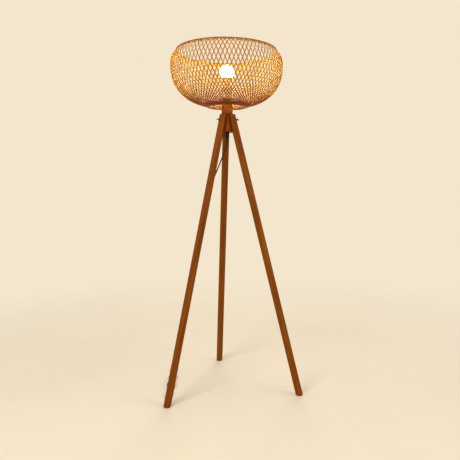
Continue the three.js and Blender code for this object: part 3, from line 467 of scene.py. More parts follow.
def on_floor(points):
    """From the floor run of the cord, along it, to its left and up, to the model's frame."""
    return on_lamp(about_axis(points, FLOOR_HEADING) + FLOOR_START)


def lengthwise(points):
    """A shape made about +Z laid along +X: its x and y become left and up."""
    x, y, z = np.moveaxis(np.asarray(points, float), -1, 0)
    return np.stack([z, x, y], -1)


def crosswise(points):
    """A shape made about +Z laid along -Y: its x stays and its y becomes up."""
    x, y, z = np.moveaxis(np.asarray(points, float), -1, 0)
    return np.stack([x, -z, y], -1)


# Meshes


def mesh_of(name, points, wrap_rows=False):
    """Mesh of one grid of corners, or several.

    The columns close on themselves, counter-clockwise about the direction of the rows, and the
    ends are capped unless the rows close too.
    """
    points = np.asarray(points, float)
    points = points.reshape(-1, *points.shape[-3:])
    items, rows, columns, _ = points.shape
    corner = np.arange(items * rows * columns).reshape(items, rows, columns)
    right = np.roll(corner, -1, 2)
    if wrap_rows:
        grid = [corner, right, np.roll(right, -1, 1), np.roll(corner, -1, 1)]
        ends = np.empty((0, columns), int)
    else:
        grid = [corner[:, :-1], right[:, :-1], right[:, 1:], corner[:, 1:]]
        ends = np.concatenate([corner[:, 0, ::-1], corner[:, -1]])
    quads = np.stack(grid, -1).reshape(-1, 4)
    loops = np.concatenate([quads.ravel(), ends.ravel()])
    counts = np.concatenate([np.full(len(quads), 4), np.full(len(ends), columns)])
    mesh = bpy.data.meshes.new(name)
    mesh.vertices.add(corner.size)
    mesh.vertices.foreach_set("co", points.ravel())
    mesh.loops.add(len(loops))
    mesh.loops.foreach_set("vertex_index", loops)
    mesh.polygons.add(len(counts))
    mesh.polygons.foreach_set("loop_start", np.concatenate([[0], np.cumsum(counts)[:-1]]))
    mesh.update(calc_edges=True)
    return mesh


def welded(mesh):
    """The mesh with corners in one place made one, which closes poles."""
    work = bmesh.new()
    work.from_mesh(mesh)
    bmesh.ops.remove_doubles(work, verts=work.verts, dist=1e-6)
    bmesh.ops.dissolve_degenerate(work, edges=work.edges, dist=1e-7)
    work.to_mesh(mesh)
    work.free()
    return mesh


def carved(mesh, cutters, operation="DIFFERENCE"):
    """The mesh with each cutter cut out of it, or joined to it, and the result applied."""
    name = mesh.name
    body = bpy.data.objects.new("work", mesh)
    bpy.context.scene.collection.objects.link(body)
    tools = []
    for cutter in cutters:
        tool = bpy.data.objects.new("tool", cutter)
        bpy.context.scene.collection.objects.link(tool)
        step = body.modifiers.new("carve", "BOOLEAN")
        step.object = tool
        step.operation = operation
        step.solver = "MANIFOLD"
        tools.append(tool)
    depsgraph = bpy.context.evaluated_depsgraph_get()
    result = bpy.data.meshes.new_from_object(body.evaluated_get(depsgraph))
    for spent in [body, *tools]:
        spent_mesh = spent.data
        bpy.data.objects.remove(spent)
        bpy.data.meshes.remove(spent_mesh)
    if not result.polygons:
        raise RuntimeError("a cut left nothing of " + name)
    result.name = name
    return welded(result)


def corners_of(mesh):
    """The mesh's corners as an array."""
    points = np.empty(len(mesh.vertices) * 3)
    mesh.vertices.foreach_get("co", points)
    return points.reshape(-1, 3)


def moved(mesh, place):
    """The mesh with its corners put through a placing function."""
    mesh.vertices.foreach_set("co", place(corners_of(mesh)).ravel())
    mesh.update()
    return mesh


def on_sides(mesh, name):
    """Copies of a mesh that was made towards +X, one on each side of the lamp."""
    copies = []
    for side, word in enumerate(SIDES):
        copy = mesh.copy()
        copy.name = f"{name}_{word}"
        copies.append(moved(copy, partial(on_side, side=side)))
    bpy.data.meshes.remove(mesh)
    return copies


def with_grain(mesh, grain):
    """Keeps each corner's place in the piece's own frame, which its wood or fibres follow."""
    attribute = mesh.attributes.new("grain", "FLOAT_VECTOR", "POINT")
    attribute.data.foreach_set("vector", np.asarray(grain, np.float32).ravel())
    return mesh


def piece(mesh, slot, body="lamp", stands_for=(), sharp=32):
    """Puts a finished mesh into the scene: smooth but for its sharp edges, riding on its body."""
    mesh.validate()
    mesh.polygons.foreach_set("use_smooth", np.ones(len(mesh.polygons), bool))
    mesh.set_sharp_from_angle(angle=math.radians(sharp))
    mesh.materials.clear()
    mesh.materials.append(finish_of(slot))
    item = bpy.data.objects.new(mesh.name, mesh)
    bpy.context.scene.collection.objects.link(item)
    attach(item, body)
    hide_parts(*stands_for)
    return item


# Finishes


class Nodes:
    """A node tree in the making, with helpers that add its nodes and link them."""

    def __init__(self, tree):
        self.tree = tree
        tree.nodes.clear()

    def put(self, socket, value):
        """Links a socket to another one, or sets it."""
        if isinstance(value, bpy.types.NodeSocket):
            self.tree.links.new(value, socket)
        elif socket.type == "RGBA":
            socket.default_value = (*value[:3], 1.0)
        else:
            socket.default_value = value

    def add(self, kind, inputs=None, **settings):
        """A node with its settings, and its inputs linked or set."""
        node = self.tree.nodes.new(kind)
        for key, value in settings.items():
            setattr(node, key, value)
        for key, value in (inputs or {}).items():
            self.put(node.inputs[key], value)
        return node

    def math(self, operation, a, b=0.0, c=0.0):
        """One step of arithmetic."""
        return self.add("ShaderNodeMath", {0: a, 1: b, 2: c}, operation=operation).outputs[0]

    def seen_share(self):
        """1 for rays from the camera and for what gloss and glass show, 0 for light that falls."""
        path = self.add("ShaderNodeLightPath").outputs
        share = self.math("MAXIMUM", path["Is Camera Ray"], path["Is Glossy Ray"])
        return self.math("MAXIMUM", share, path["Is Transmission Ray"])


class Finish(Nodes):
    """A material in the making, with its main shader."""

    def __init__(self, name, roughness=0.5, metallic=0.0):
        self.material = bpy.data.materials.new(name)
        self.material.use_nodes = True
        super().__init__(self.material.node_tree)
        surface = {"Roughness": roughness, "Metallic": metallic}
        self.shader = self.add("ShaderNodeBsdfPrincipled", surface)
        self.output = self.add("ShaderNodeOutputMaterial", {"Surface": self.shader.outputs[0]})

    def to_shader(self, **inputs):
        """Links or sets inputs of the main shader; underscores stand for spaces."""
        for key, value in inputs.items():
            self.put(self.shader.inputs[key.replace("_", " ")], value)

    def grain(self):
        """The piece's own frame, in metres."""
        return self.add("ShaderNodeAttribute", attribute_name="grain").outputs["Vector"]

    def place(self):
        """The model's frame, in metres."""
        return self.add("ShaderNodeTexCoord").outputs["Object"]

    def parts(self, vector):
        """The three numbers of a vector."""
        return self.add("ShaderNodeSeparateXYZ", {0: vector}).outputs

    def length(self, vector):
        """The length of a vector."""
        return self.add("ShaderNodeVectorMath", {0: vector}, operation="LENGTH").outputs["Value"]

    def stretched(self, vector, scale, shift=(0, 0, 0)):
        """The vector moved and then scaled along each axis."""
        inputs = {"Vector": vector, "Scale": scale, "Location": shift}
        return self.add("ShaderNodeMapping", inputs).outputs[0]

    def noise(self, vector, scale=1.0, detail=3.0, roughness=0.55, distortion=0.0):
        """Soft noise from 0 to 1."""
        return self.add("ShaderNodeTexNoise", {
            "Vector": vector, "Scale": scale, "Detail": detail, "Roughness": roughness,
            "Distortion": distortion,
        }).outputs["Fac"]

    def between(self, value, low, high, new_low=0.0, new_high=1.0):
        """The value carried from one range to another, kept within it."""
        return self.add("ShaderNodeMapRange", {
            "Value": value, "From Min": low, "From Max": high,
            "To Min": new_low, "To Max": new_high,
        }, clamp=True, interpolation_type="SMOOTHSTEP").outputs[0]

    def mixed(self, share, first, second):
        """Two colours mixed by a share."""
        inputs = {0: share, 6: first, 7: second}
        return self.add("ShaderNodeMix", inputs, data_type="RGBA").outputs[2]

    def bump(self, height, distance, strength=1.0):
        """Fine relief of the height times the distance, in metres."""
        inputs = {"Height": height, "Distance": distance, "Strength": strength}
        self.to_shader(Normal=self.add("ShaderNodeBump", inputs).outputs[0])


def scaled(colour, factor):
    """A colour made lighter or darker."""
    return tuple(min(1.0, part * factor) for part in colour[:3])


def wood_finish(name, light, dark, upper=None, *, ring_width, roughness):
    """Oiled wood: growth rings, fibres, pores and slow changes of tone.

    The rings lie about an off-centre heart and are drawn out along the grain. The hub's upper part
    takes a lighter tone, a painted light for the bulb's light falling on its collar.
    """
    f = Finish(name)
    grain = f.grain()
    sway = f.noise(f.stretched(grain, (9, 9, 1.1)), detail=2)
    away = f.length(f.stretched(grain, (1, 1, 0.012), (0.031, 0.014, 0)))
    turns = f.math("MULTIPLY_ADD", away, 2 * math.pi / ring_width, f.math("MULTIPLY", sway, 9.0))
    rings = f.between(f.math("SINE", turns), -0.55, 1.0)
    fibres = f.noise(f.stretched(grain, (1100, 1100, 16)), detail=4, roughness=0.6)
    tone = f.noise(f.stretched(grain, (35, 35, 3.2)), detail=2)
    pores = f.between(f.noise(f.stretched(grain, (2400, 2400, 110)), detail=1), 0.62, 0.74)
    # The share of the dark tone adds up from the fibres, the rings and the slow tone
    share = f.math("MULTIPLY", f.between(fibres, 0.3, 0.75), 0.36)
    share = f.math("SUBTRACT", f.math("MULTIPLY_ADD", rings, 0.42, share), 0.04)
    share = f.math("MULTIPLY_ADD", f.between(tone, 0.3, 0.7), 0.3, share)
    colour = f.mixed(share, light, dark)
    # Painted light: above the legs' tops the hub turns to the lighter collar tone, as if lit by the
    # bulb
    if upper:
        painted_light_share = f.between(f.parts(f.place())[2], LEG_TOP - 0.012, COLLAR_TOP)
        colour = f.mixed(painted_light_share, colour, f.mixed(share, upper, scaled(upper, 0.4)))
    colour = f.mixed(f.math("MULTIPLY", pores, 0.35), colour, scaled(dark, 0.55))
    gloss = f.between(fibres, 0.3, 0.7, roughness - 0.06, roughness + 0.1)
    f.to_shader(Base_Color=colour, Roughness=gloss, Specular_IOR_Level=0.08)
    f.bump(f.math("SUBTRACT", f.math("MULTIPLY", fibres, 0.5), pores), 0.00012, 0.6)
    return f.material


def cane_finish(name, light, dark, inside, shade_and_rim_tone, *, joint_spacing, roughness):
    """Split cane or bamboo: a tone for each strip, long fibres and faint growth joints.

    All of it darkens a little at the rim. Towards the bowl's opening it darkens much more, a
    painted shade for the dense weave there that lets no light from within through. The side away
    from the grain's second axis, which was inside the stalk, is paler.
    """
    f = Finish(name)
    grain = f.grain()
    across, outwards, along = f.parts(grain)
    strip = f.math("ROUND", across)
    own = f.add("ShaderNodeTexWhiteNoise", {"W": strip}, noise_dimensions="1D").outputs["Value"]
    fibres = f.noise(f.stretched(grain, (1900, 900, 9)), detail=3, roughness=0.65)
    streak = f.noise(f.stretched(grain, (420, 300, 5)), detail=2)
    phase = f.math("PINGPONG", f.math("MULTIPLY_ADD", own, joint_spacing, along), joint_spacing / 2)
    joint = f.math("SUBTRACT", 1.0, f.between(phase, 0.0006, 0.0022))
    # The share of the dark tone adds up from the fibres, the strip's own tone and the streaks
    share = f.math("MULTIPLY", f.between(fibres, 0.28, 0.72), 0.34)
    share = f.math("MULTIPLY_ADD", f.between(own, 0.0, 1.0), 0.42, share)
    share = f.math("MULTIPLY_ADD", f.between(streak, 0.35, 0.75), 0.26, share)
    colour = f.mixed(share, light, dark)
    colour = f.mixed(f.math("MULTIPLY", joint, 0.55), colour, scaled(dark, 0.6))
    within = f.math("MULTIPLY", f.between(outwards, -0.00005, 0.00005, 1.0, 0.0), 0.85)
    colour = f.mixed(within, colour, f.mixed(share, scaled(inside, 1.15), scaled(inside, 0.5)))
    height = f.parts(f.place())[2]
    # Painted shade: the weave darkens towards the bowl's opening, its inner side a little less
    low = f.between(height, OPENING_HEIGHT + 0.012, OPENING_HEIGHT + 0.07, 0.92, 0.0)
    low = f.math("MULTIPLY", low, f.math("MULTIPLY_ADD", within, -0.2, 1.0))
    top = f.between(height, RIM_CANE_HEIGHT - 0.005, RIM_CANE_HEIGHT - 0.003, 0.0, 0.2)
    # The tone of the painted shade and of the darker rim, lighter or darker for each strip
    shade_and_rim_colour = f.mixed(f.between(own, 0.2, 0.8), scaled(shade_and_rim_tone, 1.6), scaled(shade_and_rim_tone, 0.6))
    colour = f.mixed(f.math("ADD", low, top), colour, shade_and_rim_colour)
    gloss = f.between(fibres, 0.3, 0.7, roughness - 0.07, roughness + 0.1)
    f.to_shader(Base_Color=colour, Roughness=gloss, Specular_IOR_Level=0.08)
    f.bump(f.math("MULTIPLY_ADD", joint, 0.8, fibres), 0.00018, 0.7)
    return f.material


def even_finish(f, colour, skin, *, roughness, tone_scale, spread, lighter, darker, rougher):
    """Slow changes of a colour and its gloss, and the fine relief of its skin.

    The skin is its scale and its height, and the spread is the noise between which the tone runs
    from lighter to darker.
    """
    place = f.place()
    tone = f.noise(place, tone_scale, 3)
    relief = f.noise(place, skin[0], 2)
    share = f.between(tone, *spread)
    f.to_shader(
        Base_Color=f.mixed(share, scaled(colour, lighter), scaled(colour, darker)),
        Roughness=f.between(tone, 0.3, 0.7, roughness - 0.05, roughness + rougher),
    )
    f.bump(relief, skin[1], 0.5)
    return f.material


def metal_finish(name, colour, *, roughness, metallic, tone_scale, skin):
    """Bare, coated or drawn metal."""
    f = Finish(name, metallic=metallic)
    return even_finish(f, colour, skin, roughness=roughness, tone_scale=tone_scale,
                       spread=(0.3, 0.7), lighter=1.12, darker=0.82, rougher=0.08)


def moulded_finish(name, colour, *, roughness, skin):
    """Moulded plastic, rubber or glazed ceramic, slightly worn."""
    f = Finish(name)
    f.to_shader(Specular_IOR_Level=0.2)
    return even_finish(f, colour, skin, roughness=roughness, tone_scale=60,
                       spread=(0.35, 0.65), lighter=1.1, darker=0.9, rougher=0.06)


def felt_finish(name, colour):
    """Felt: matted fibres of mixed tone."""
    f = Finish(name, roughness=0.95)
    matted = f.stretched(f.place(), (1500, 600, 1500))
    hairs = f.noise(matted, detail=4, roughness=0.7, distortion=1.5)
    share = f.between(hairs, 0.3, 0.7)
    f.to_shader(Base_Color=f.mixed(share, scaled(colour, 1.5), scaled(colour, 0.6)))
    f.bump(hairs, 0.0004, 0.8)
    return f.material


def globe_finish(name, colour, glow, *, neck):
    """Lit opal globe: the glow is a little weaker towards its neck."""
    f = Finish(name, roughness=0.25)
    height = f.parts(f.place())[2]
    f.to_shader(
        Base_Color=colour,
        Emission_Color=f.mixed(f.between(height, *neck), scaled(glow, 0.7), glow),
        Emission_Strength=sizes().glow,
    )
    return f.material


# The finish of each slot: its maker, the colours that it takes in order, and its other values.
# A skin is the scale of its grain and its height in metres.
FINISHES = {
    "leg_wood": (wood_finish, ["leg_wood", "leg_grain"], {"ring_width": 0.0034, "roughness": 0.5}),
    "hub_wood": (
        wood_finish, ["hub_wood", "hub_grain", "collar_wood"],
        {"ring_width": 0.0028, "roughness": 0.46}),
    "bamboo": (
        cane_finish, ["bamboo", "bamboo_dark", "bamboo_inside", "base_tone"],
        {"joint_spacing": 0.23, "roughness": 0.5}),
    "cane": (
        cane_finish, ["cane", "cane_dark", "bamboo_inside", "base_tone"],
        {"joint_spacing": 0.31, "roughness": 0.55}),
    "black_steel": (
        metal_finish, ["black_steel"],
        {"roughness": 0.5, "metallic": 0.4, "tone_scale": 45, "skin": (1600, 0.00004)}),
    "bronzed_steel": (
        metal_finish, ["bronzed_steel"],
        {"roughness": 0.46, "metallic": 0.35, "tone_scale": 70, "skin": (1600, 0.00004)}),
    "bright_steel": (
        metal_finish, ["bright_steel"],
        {"roughness": 0.3, "metallic": 1.0, "tone_scale": 90, "skin": (2500, 0.00002)}),
    "brass": (
        metal_finish, ["brass"],
        {"roughness": 0.3, "metallic": 1.0, "tone_scale": 120, "skin": (2200, 0.00002)}),
    "black_plastic": (
        moulded_finish, ["black_plastic"], {"roughness": 0.42, "skin": (2600, 0.00003)}),
    "cord_sheath": (moulded_finish, ["cord"], {"roughness": 0.55, "skin": (1400, 0.00005)}),
    "ceramic": (moulded_finish, ["ceramic"], {"roughness": 0.28, "skin": (500, 0.00004)}),
    "white_plastic": (
        moulded_finish, ["white_plastic"], {"roughness": 0.38, "skin": (2600, 0.00002)}),
    "opal_globe": (globe_finish, ["globe", "glow"], {"neck": (1.352, 1.372)}),
    "felt": (felt_finish, ["felt"], {}),
}


def finish_of(slot):
    """The finish of a material slot, made when it is first asked for."""
    name = "lamp_" + slot
    made = bpy.data.materials.get(name)
    if made:
        return made
    maker, tones, values = FINISHES[slot]
    return maker(name, *(getattr(colours(), tone) for tone in tones), **values)


# Bowl


def bowl_wall():
    """The bowl's meridian, a superellipse from the opening's edge to the rim, in fine steps.

    Gives at each step the distance run, the radius, the height, the direction along the wall, and
    the turn of a strip whose line would touch the tangent circle.
    """
    lowest = -math.acos((OPENING_RADIUS / BELLY_RADIUS) ** (BOWL_POWER / 2))
    highest = math.acos((RIM_RADIUS / BELLY_RADIUS) ** (BOWL_POWER / 2))
    angle = np.linspace(lowest, highest, 4000)
    belly = OPENING_HEIGHT + BOWL_DEPTH * abs(math.sin(lowest)) ** (2 / BOWL_POWER)
    reach = np.where(angle < 0, -BOWL_DEPTH, BOWL_CROWN)
    r = BELLY_RADIUS * np.cos(angle) ** (2 / BOWL_POWER)
    z = belly + reach * np.abs(np.sin(angle)) ** (2 / BOWL_POWER)
    step = np.hypot(np.diff(r), np.diff(z))
    run = np.concatenate([[0], np.cumsum(step)])
    middle = (r[1:] + r[:-1]) / 2
    slant = np.minimum(TANGENT_RADIUS / middle, STEEPEST)
    turn = np.concatenate([[0], np.cumsum(step * slant / np.sqrt(1 - slant ** 2) / middle)])
    up_r, up_z = np.gradient(r, run), np.gradient(z, run)
    return {"run": run, "r": r, "z": z, "up_r": up_r, "up_z": up_z, "turn": turn}


def along_wall(wall, run):
    """The wall's values at distances along it."""
    return {key: np.interp(run, wall["run"], values) for key, values in wall.items()}


def strip_family(hand):
    """All strips that slant one way, as grids of corners and their grain.

    A strip's middle follows the wall's turn, and its depth in the wall goes in and out as a cosine
    of that turn, so that it passes over and under the other family.
    """
    s = sizes()
    wall = bowl_wall()
    total = wall["run"][-1]
    ends = np.interp([FIRST_RUN, total - LAST_GAP], wall["run"], wall["turn"])
    stations = int(2 * ((ends[1] - ends[0]) * s.strip_count / math.pi))
    turns = np.linspace(*ends, stations)
    at = along_wall(wall, np.interp(turns, wall["turn"], wall["run"]))
    slant = np.minimum(TANGENT_RADIUS / at["r"], STEEPEST)
    straight = np.sqrt(1 - slant ** 2)
    pitch = 2 * math.pi * at["r"] / s.strip_count * straight
    broad = smooth_step(at["r"], *NARROW_RADII)
    width = np.minimum(s.strip_width * (NARROWEST + (1 - NARROWEST) * broad), FULLEST * pitch)
    rim_low, rim_high = total - np.array(TIGHT_RIM)
    free = smooth_step(at["r"], *TIGHT_RADII) * (1 - smooth_step(at["run"], rim_low, rim_high))
    thickness = s.strip_thickness * (THINNEST + (1 - THINNEST) * free)
    play = (WALL - s.strip_thickness) / 2 - SNUG
    swing = LEAST_PLAY + (play - LEAST_PLAY) * free
    depth = WALL / 2 - hand * swing * np.cos(s.strip_count * turns)
    # Section: six corners, flat on both faces and thinner towards its edges
    across = np.array([-1, -0.72, 0.72, 1, 0.72, -0.72])[None, :] * width[:, None] / 2
    face = np.array([0, 1, 1, 0, -1, -1])[None, :] * thickness[:, None] / 2
    out = face - depth[:, None]
    up_r, up_z = at["up_r"][:, None], at["up_z"][:, None]
    sideways = across * straight[:, None]
    down = hand * across * slant[:, None]
    r = at["r"][:, None] + out * up_z - down * up_r
    z = at["z"][:, None] - out * up_r - down * up_z
    index = np.arange(s.strip_count)[:, None, None]
    angle = hand * turns[:, None] + sideways / r + index * 2 * math.pi / s.strip_count
    length = np.concatenate([[0], np.cumsum(np.diff(at["run"]) / straight[1:])])[:, None]
    grain = np.stack(np.broadcast_arrays(across + index, face, length), -1)
    return polar(r, angle, z), grain


def wall_hoop(wall, run, depth, width, thickness):
    """A hoop lying in the wall at a distance along it: an oval section carried round the axis."""
    at = along_wall(wall, run)
    turn = round_steps(8)
    up = -width / 2 * np.sign(np.cos(turn)) * np.abs(np.cos(turn)) ** 0.6
    out = thickness / 2 * np.sin(turn) - depth
    radius = at["r"] + out * at["up_z"] + up * at["up_r"]
    height = at["z"] - out * at["up_r"] + up * at["up_z"]
    return turned(np.column_stack([radius, height])[::-1], 144)


def hoop_pairs(wall, runs, width, thickness):
    """Hoops at distances along the wall, at each of them one inside each of its faces."""
    depths = (thickness / 2, WALL - thickness / 2)
    return np.stack([
        wall_hoop(wall, run, depth, width, thickness) for run in runs for depth in depths])


def hoop_grain(points, number=0):
    """Grain of hoops about the axis: fibres run round, and mirror at the back so that they meet."""
    x, y, z = np.moveaxis(points, -1, 0)
    radius = np.hypot(x, y)
    around = np.abs(np.arctan2(x, -y)) * radius.mean()
    return np.stack([z - z.mean() + number, radius - radius.mean(), around], -1)


def rim_cane_section(count):
    """The circle of the rim's round cane, as radius and height."""
    turn = round_steps(count)
    radius = sizes().rim_cane_diameter / 2
    circle = radius * np.stack([np.cos(turn), np.sin(turn)], -1)
    return np.array([RIM_CANE_RADIUS, RIM_CANE_HEIGHT]) + circle


def lashings(wall):
    """Flat bindings round the rim, as grids of corners and their grain.

    Each follows the line that a band pulled tight round the cane and the rim hoops takes in the
    radial plane: in every direction it lies on the point that reaches furthest.
    """
    count = sizes().lashing_count
    at = along_wall(wall, wall["run"][-1])
    up = np.array([at["up_r"], at["up_z"]])
    out = np.array([at["up_z"], -at["up_r"]])
    low = np.array([at["r"], at["z"]]) - up * BINDING_REACH
    faces = [low + out * SNUG, low - out * (WALL + SNUG)]
    held = np.concatenate([rim_cane_section(24), faces])
    turn = -round_steps(24)
    direction = np.stack([np.cos(turn), np.sin(turn)], -1)
    path = held[np.argmax(direction @ held.T, axis=1)] + SNUG * direction
    # Section: a flat band that lies on the path
    across = BINDING_WIDTH / 2 * np.array([-1, 1, 1, -1])
    rise = BINDING_THICKNESS * np.array([0, 0, 1, 1])
    radius = path[:, None, 0] + direction[:, None, 0] * rise
    height = path[:, None, 1] + direction[:, None, 1] * rise
    index = np.arange(count)[:, None, None]
    angle = (index + 0.5) * 2 * math.pi / count
    x = radius * np.cos(angle) - across * np.sin(angle)
    y = radius * np.sin(angle) + across * np.cos(angle)
    points = np.stack(np.broadcast_arrays(x, y, height), -1)
    along = (np.arange(len(path)) * 0.0012)[:, None]
    grain = np.stack(np.broadcast_arrays(across + index, rise, along), -1)
    return points, grain


class LAMP_OT_weave(bpy.types.Operator):
    """Weaves the bowl from two families of slanted bamboo strips"""

    bl_idname = "lamp.weave"
    bl_label = "Weave"

    def execute(self, context):
        right_hand, right_grain = strip_family(1)
        mesh = mesh_of("weave_right_hand", on_lamp(right_hand))
        piece(with_grain(mesh, right_grain), "bamboo", "lamp", ["shade_outer_weave"], sharp=50)
        # The second family's numbers go on from the first one's, so that its tones differ
        left_hand, left_grain = strip_family(-1)
        left_grain = left_grain + np.array([sizes().strip_count, 0, 0])
        mesh = mesh_of("weave_left_hand", on_lamp(left_hand))
        piece(with_grain(mesh, left_grain), "bamboo", "lamp", ["shade_inner_weave"], sharp=50)
        return {"FINISHED"}


class LAMP_OT_hoops(bpy.types.Operator):
    """Makes the hoops round the opening, the rim with its cane, and the bindings"""

    bl_idname = "lamp.hoops"
    bl_label = "Hoops and rim"

    def execute(self, context):
        wall = bowl_wall()
        rim_run = wall["run"][-1] - RIM_HOOP_GAP
        for name, hoops in (
            ("base_hoops", hoop_pairs(wall, BASE_HOOP_RUNS, *BASE_HOOP)),
            ("rim_hoops", hoop_pairs(wall, [rim_run], *RIM_HOOP)),
        ):
            grain = np.stack([hoop_grain(hoop, number) for number, hoop in enumerate(hoops)])
            mesh = mesh_of(name, on_lamp(hoops), wrap_rows=True)
            piece(with_grain(mesh, grain), "cane", sharp=60)
        cane = turned(rim_cane_section(16), 180)
        mesh = mesh_of("rim_round_cane", on_lamp(cane), wrap_rows=True)
        piece(with_grain(mesh, hoop_grain(cane)), "cane", "lamp", ["rim_cane"], sharp=60)
        points, grain = lashings(wall)
        mesh = mesh_of("rim_lashings", on_lamp(points), wrap_rows=True)
        piece(with_grain(mesh, grain), "cane", sharp=50)
        return {"FINISHED"}


# Tripod


def leg_axis_radius(height):
    """Distance of a leg's axis from the lamp's axis at a height."""
    return FOOT_CIRCLE - height * math.tan(LEAN)


def seat_depth(height):
    """How far inside the leg's axis its flat lies, as a straight line down the hub."""
    return SEAT_TOP + (LEG_TOP - height) / (LEG_TOP - HUB_BOTTOM) * (SEAT_BOTTOM - SEAT_TOP)


def disc_outline(radius, low, high, ease, steps=3):
    """Half the outline of a round disc, from the middle of its bottom to the middle of its top."""
    half = [(TIP, low), (radius, low), (radius, high), (TIP, high)]
    return eased(half, ease, steps, closed=False)


def level_rod(radius, start, end, sides):
    """A plain rod along +X at the height of the screws."""
    return lengthwise(turned([(radius, start), (radius, end)], sides)) + SCREW_HEIGHT * UP


def leg_mesh():
    """Leaning dowel with its flat, screw hole and spot face.

    Its level slices are ellipses about the leg's axis, drawn in at both ends, and cut back to the
    plane of the flat that lies against the hub.
    """
    s = sizes()
    radius = s.leg_diameter / 2
    turn = np.linspace(0, np.pi / 2, 4)
    rise = s.leg_ease * (1 - np.cos(turn))
    drawn = s.leg_ease * (1 - np.sin(turn))
    slices = np.concatenate([np.linspace(0.01, 1.09, 40), np.linspace(1.1, 1.195, 20)])
    height = np.concatenate([LEG_BOTTOM + rise, slices, LEG_TOP - rise[::-1]])
    easing = np.concatenate([drawn, 0 * slices, drawn[::-1]])
    angle = np.radians(np.arange(0, 360, 5.0))
    # The flat is drawn in with the round side at the top only
    inset = np.minimum(seat_depth(height), radius) - easing * (height > SCREW_HEIGHT)
    outwards = np.maximum((radius - easing)[:, None] * np.cos(angle), -inset[:, None])
    x = leg_axis_radius(height)[:, None] + outwards / math.cos(LEAN)
    y = (radius - easing)[:, None] * np.sin(angle)
    leg = mesh_of("leg", np.stack(np.broadcast_arrays(x, y, height[:, None]), -1))
    spot = mesh_of("spot", level_rod(SPOT_RADIUS, SPOT_PLACE, OUTSIDE, 48))
    hole = mesh_of("hole", level_rod(SCREW_HOLE, 0.0, OUTSIDE, 24))
    return carved(leg, [spot, hole])


def leg_grain(points):
    """A leg's own frame: across it, and along its axis."""
    x, y, z = np.moveaxis(points, -1, 0)
    c, s = math.cos(LEAN), math.sin(LEAN)
    out = (x - FOOT_CIRCLE) * c + z * s
    along = -(x - FOOT_CIRCLE) * s + z * c
    return np.stack([out, y, along], -1)


class LAMP_OT_legs(bpy.types.Operator):
    """Makes the three legs and their felt pads"""

    bl_idname = "lamp.legs"
    bl_label = "Legs and pads"

    def execute(self, context):
        outline = disc_outline(PAD_RADIUS, 0, PAD_HEIGHT, 0.0005)
        middle = np.array([leg_axis_radius(PAD_HEIGHT), 0, 0])
        pad = mesh_of("pad", turned(outline, 64) + middle)
        leg = leg_mesh()
        grain = leg_grain(corners_of(leg))
        legs = on_sides(leg, "wooden_leg")
        pads = on_sides(pad, "felt_pad")
        for side, word in enumerate(SIDES):
            # Each leg is cut from another board, so its grain is turned and moved along
            board = about_axis(grain, side * BOARD_TURN) + side * BOARD_SHIFT
            piece(with_grain(legs[side], board), "leg_wood", "lamp", [f"leg_{word}"])
            piece(pads[side], "felt", "lamp", [f"foot_pad_{word}"])
        return {"FINISHED"}


def hub_core():
    """Tapered core of the hub with its three slanted seats.

    Its radius at an angle is the smaller of the taper's radius and the seat plane's distance over
    the cosine of the angle from the nearest leg. The columns follow the seats' edges.
    """
    foot = [(0.001, HUB_BOTTOM), (HUB_FOOT_RADIUS, HUB_BOTTOM), (HUB_HEAD_RADIUS, LEG_TOP)]
    rim = eased(foot, 0.0018, 4, closed=False)[1:-1]
    head = np.array([0.0232, 1.206])  # inside the collar
    taper = rim[-1] + (head - rim[-1]) * np.linspace(0, 1, 14)[1:, None]
    radius, height = np.concatenate([rim, taper]).T
    seat = leg_axis_radius(height) - (seat_depth(height) + FIT) / math.cos(LEAN)
    sixth = math.pi / 3
    edge = np.arccos(np.clip(seat / np.maximum(radius, COLLAR_RADIUS), 0, 1))
    edge = np.minimum(edge, 0.985 * sixth)[:, None]
    flank = np.linspace(0, 1, 7)[None, :-1]
    left = -sixth + (sixth - edge) * flank
    middle = edge * np.linspace(-1, 1, 15)[None, :-1]
    right = edge + (sixth - edge) * flank
    sector = np.concatenate([left, middle, right], 1)
    reach = np.minimum(radius[:, None], seat[:, None] / np.cos(sector))
    angle = np.concatenate([sector + side_angle(side) for side in range(len(SIDES))], 1)
    return polar(np.tile(reach, len(SIDES)), angle, height[:, None])


class LAMP_OT_hub(bpy.types.Operator):
    """Makes the turned hub with its slanted seats, collar and bore"""

    bl_idname = "lamp.hub"
    bl_label = "Hub"

    def execute(self, context):
        collar = turned(disc_outline(COLLAR_RADIUS, COLLAR_BOTTOM, COLLAR_TOP, 0.0014, 4), 96)
        bore = turned([(BORE_RADIUS, HUB_BOTTOM - 0.02), (BORE_RADIUS, COLLAR_TOP + 0.02)], 40)
        holes = on_each_side(level_rod(INSERT_HOLE, INSERT_END, 0.05, 24))
        hub = carved(mesh_of("turned_hub", hub_core()), [mesh_of("collar", collar)], "UNION")
        hub = carved(hub, [mesh_of("cut", points) for points in [bore, *holes]])
        grain = corners_of(hub) + HUB_HEART
        piece(with_grain(moved(hub, on_lamp), grain), "hub_wood", "lamp", ["hub"])
        return {"FINISHED"}


def wing_outline():
    """Outline of both wings and their neck, seen along the screws' height.

    A smooth curve through the roots, the flared shoulders and the rounded tips.
    """
    half = np.array([
        (0.0036, 0.0028), (0.0045, 0.006), (0.0062, 0.0091), (0.0084, 0.0109), (0.0104, 0.0109),
        (0.0117, 0.0098), (0.0119, 0.0079), (0.0111, 0.0056), (0.0096, 0.0034), (0.008, 0.002),
        (0.0072, 0.0013),
    ])
    outline = np.concatenate([half[::-1], half * np.array([1, -1])])
    corners = np.concatenate([outline, outline[:1]])
    flat = np.column_stack([corners, np.zeros(len(corners))])
    return smooth_route(flat, 3)[:-1, :2] + np.array([BOSS_PLACE, 0])


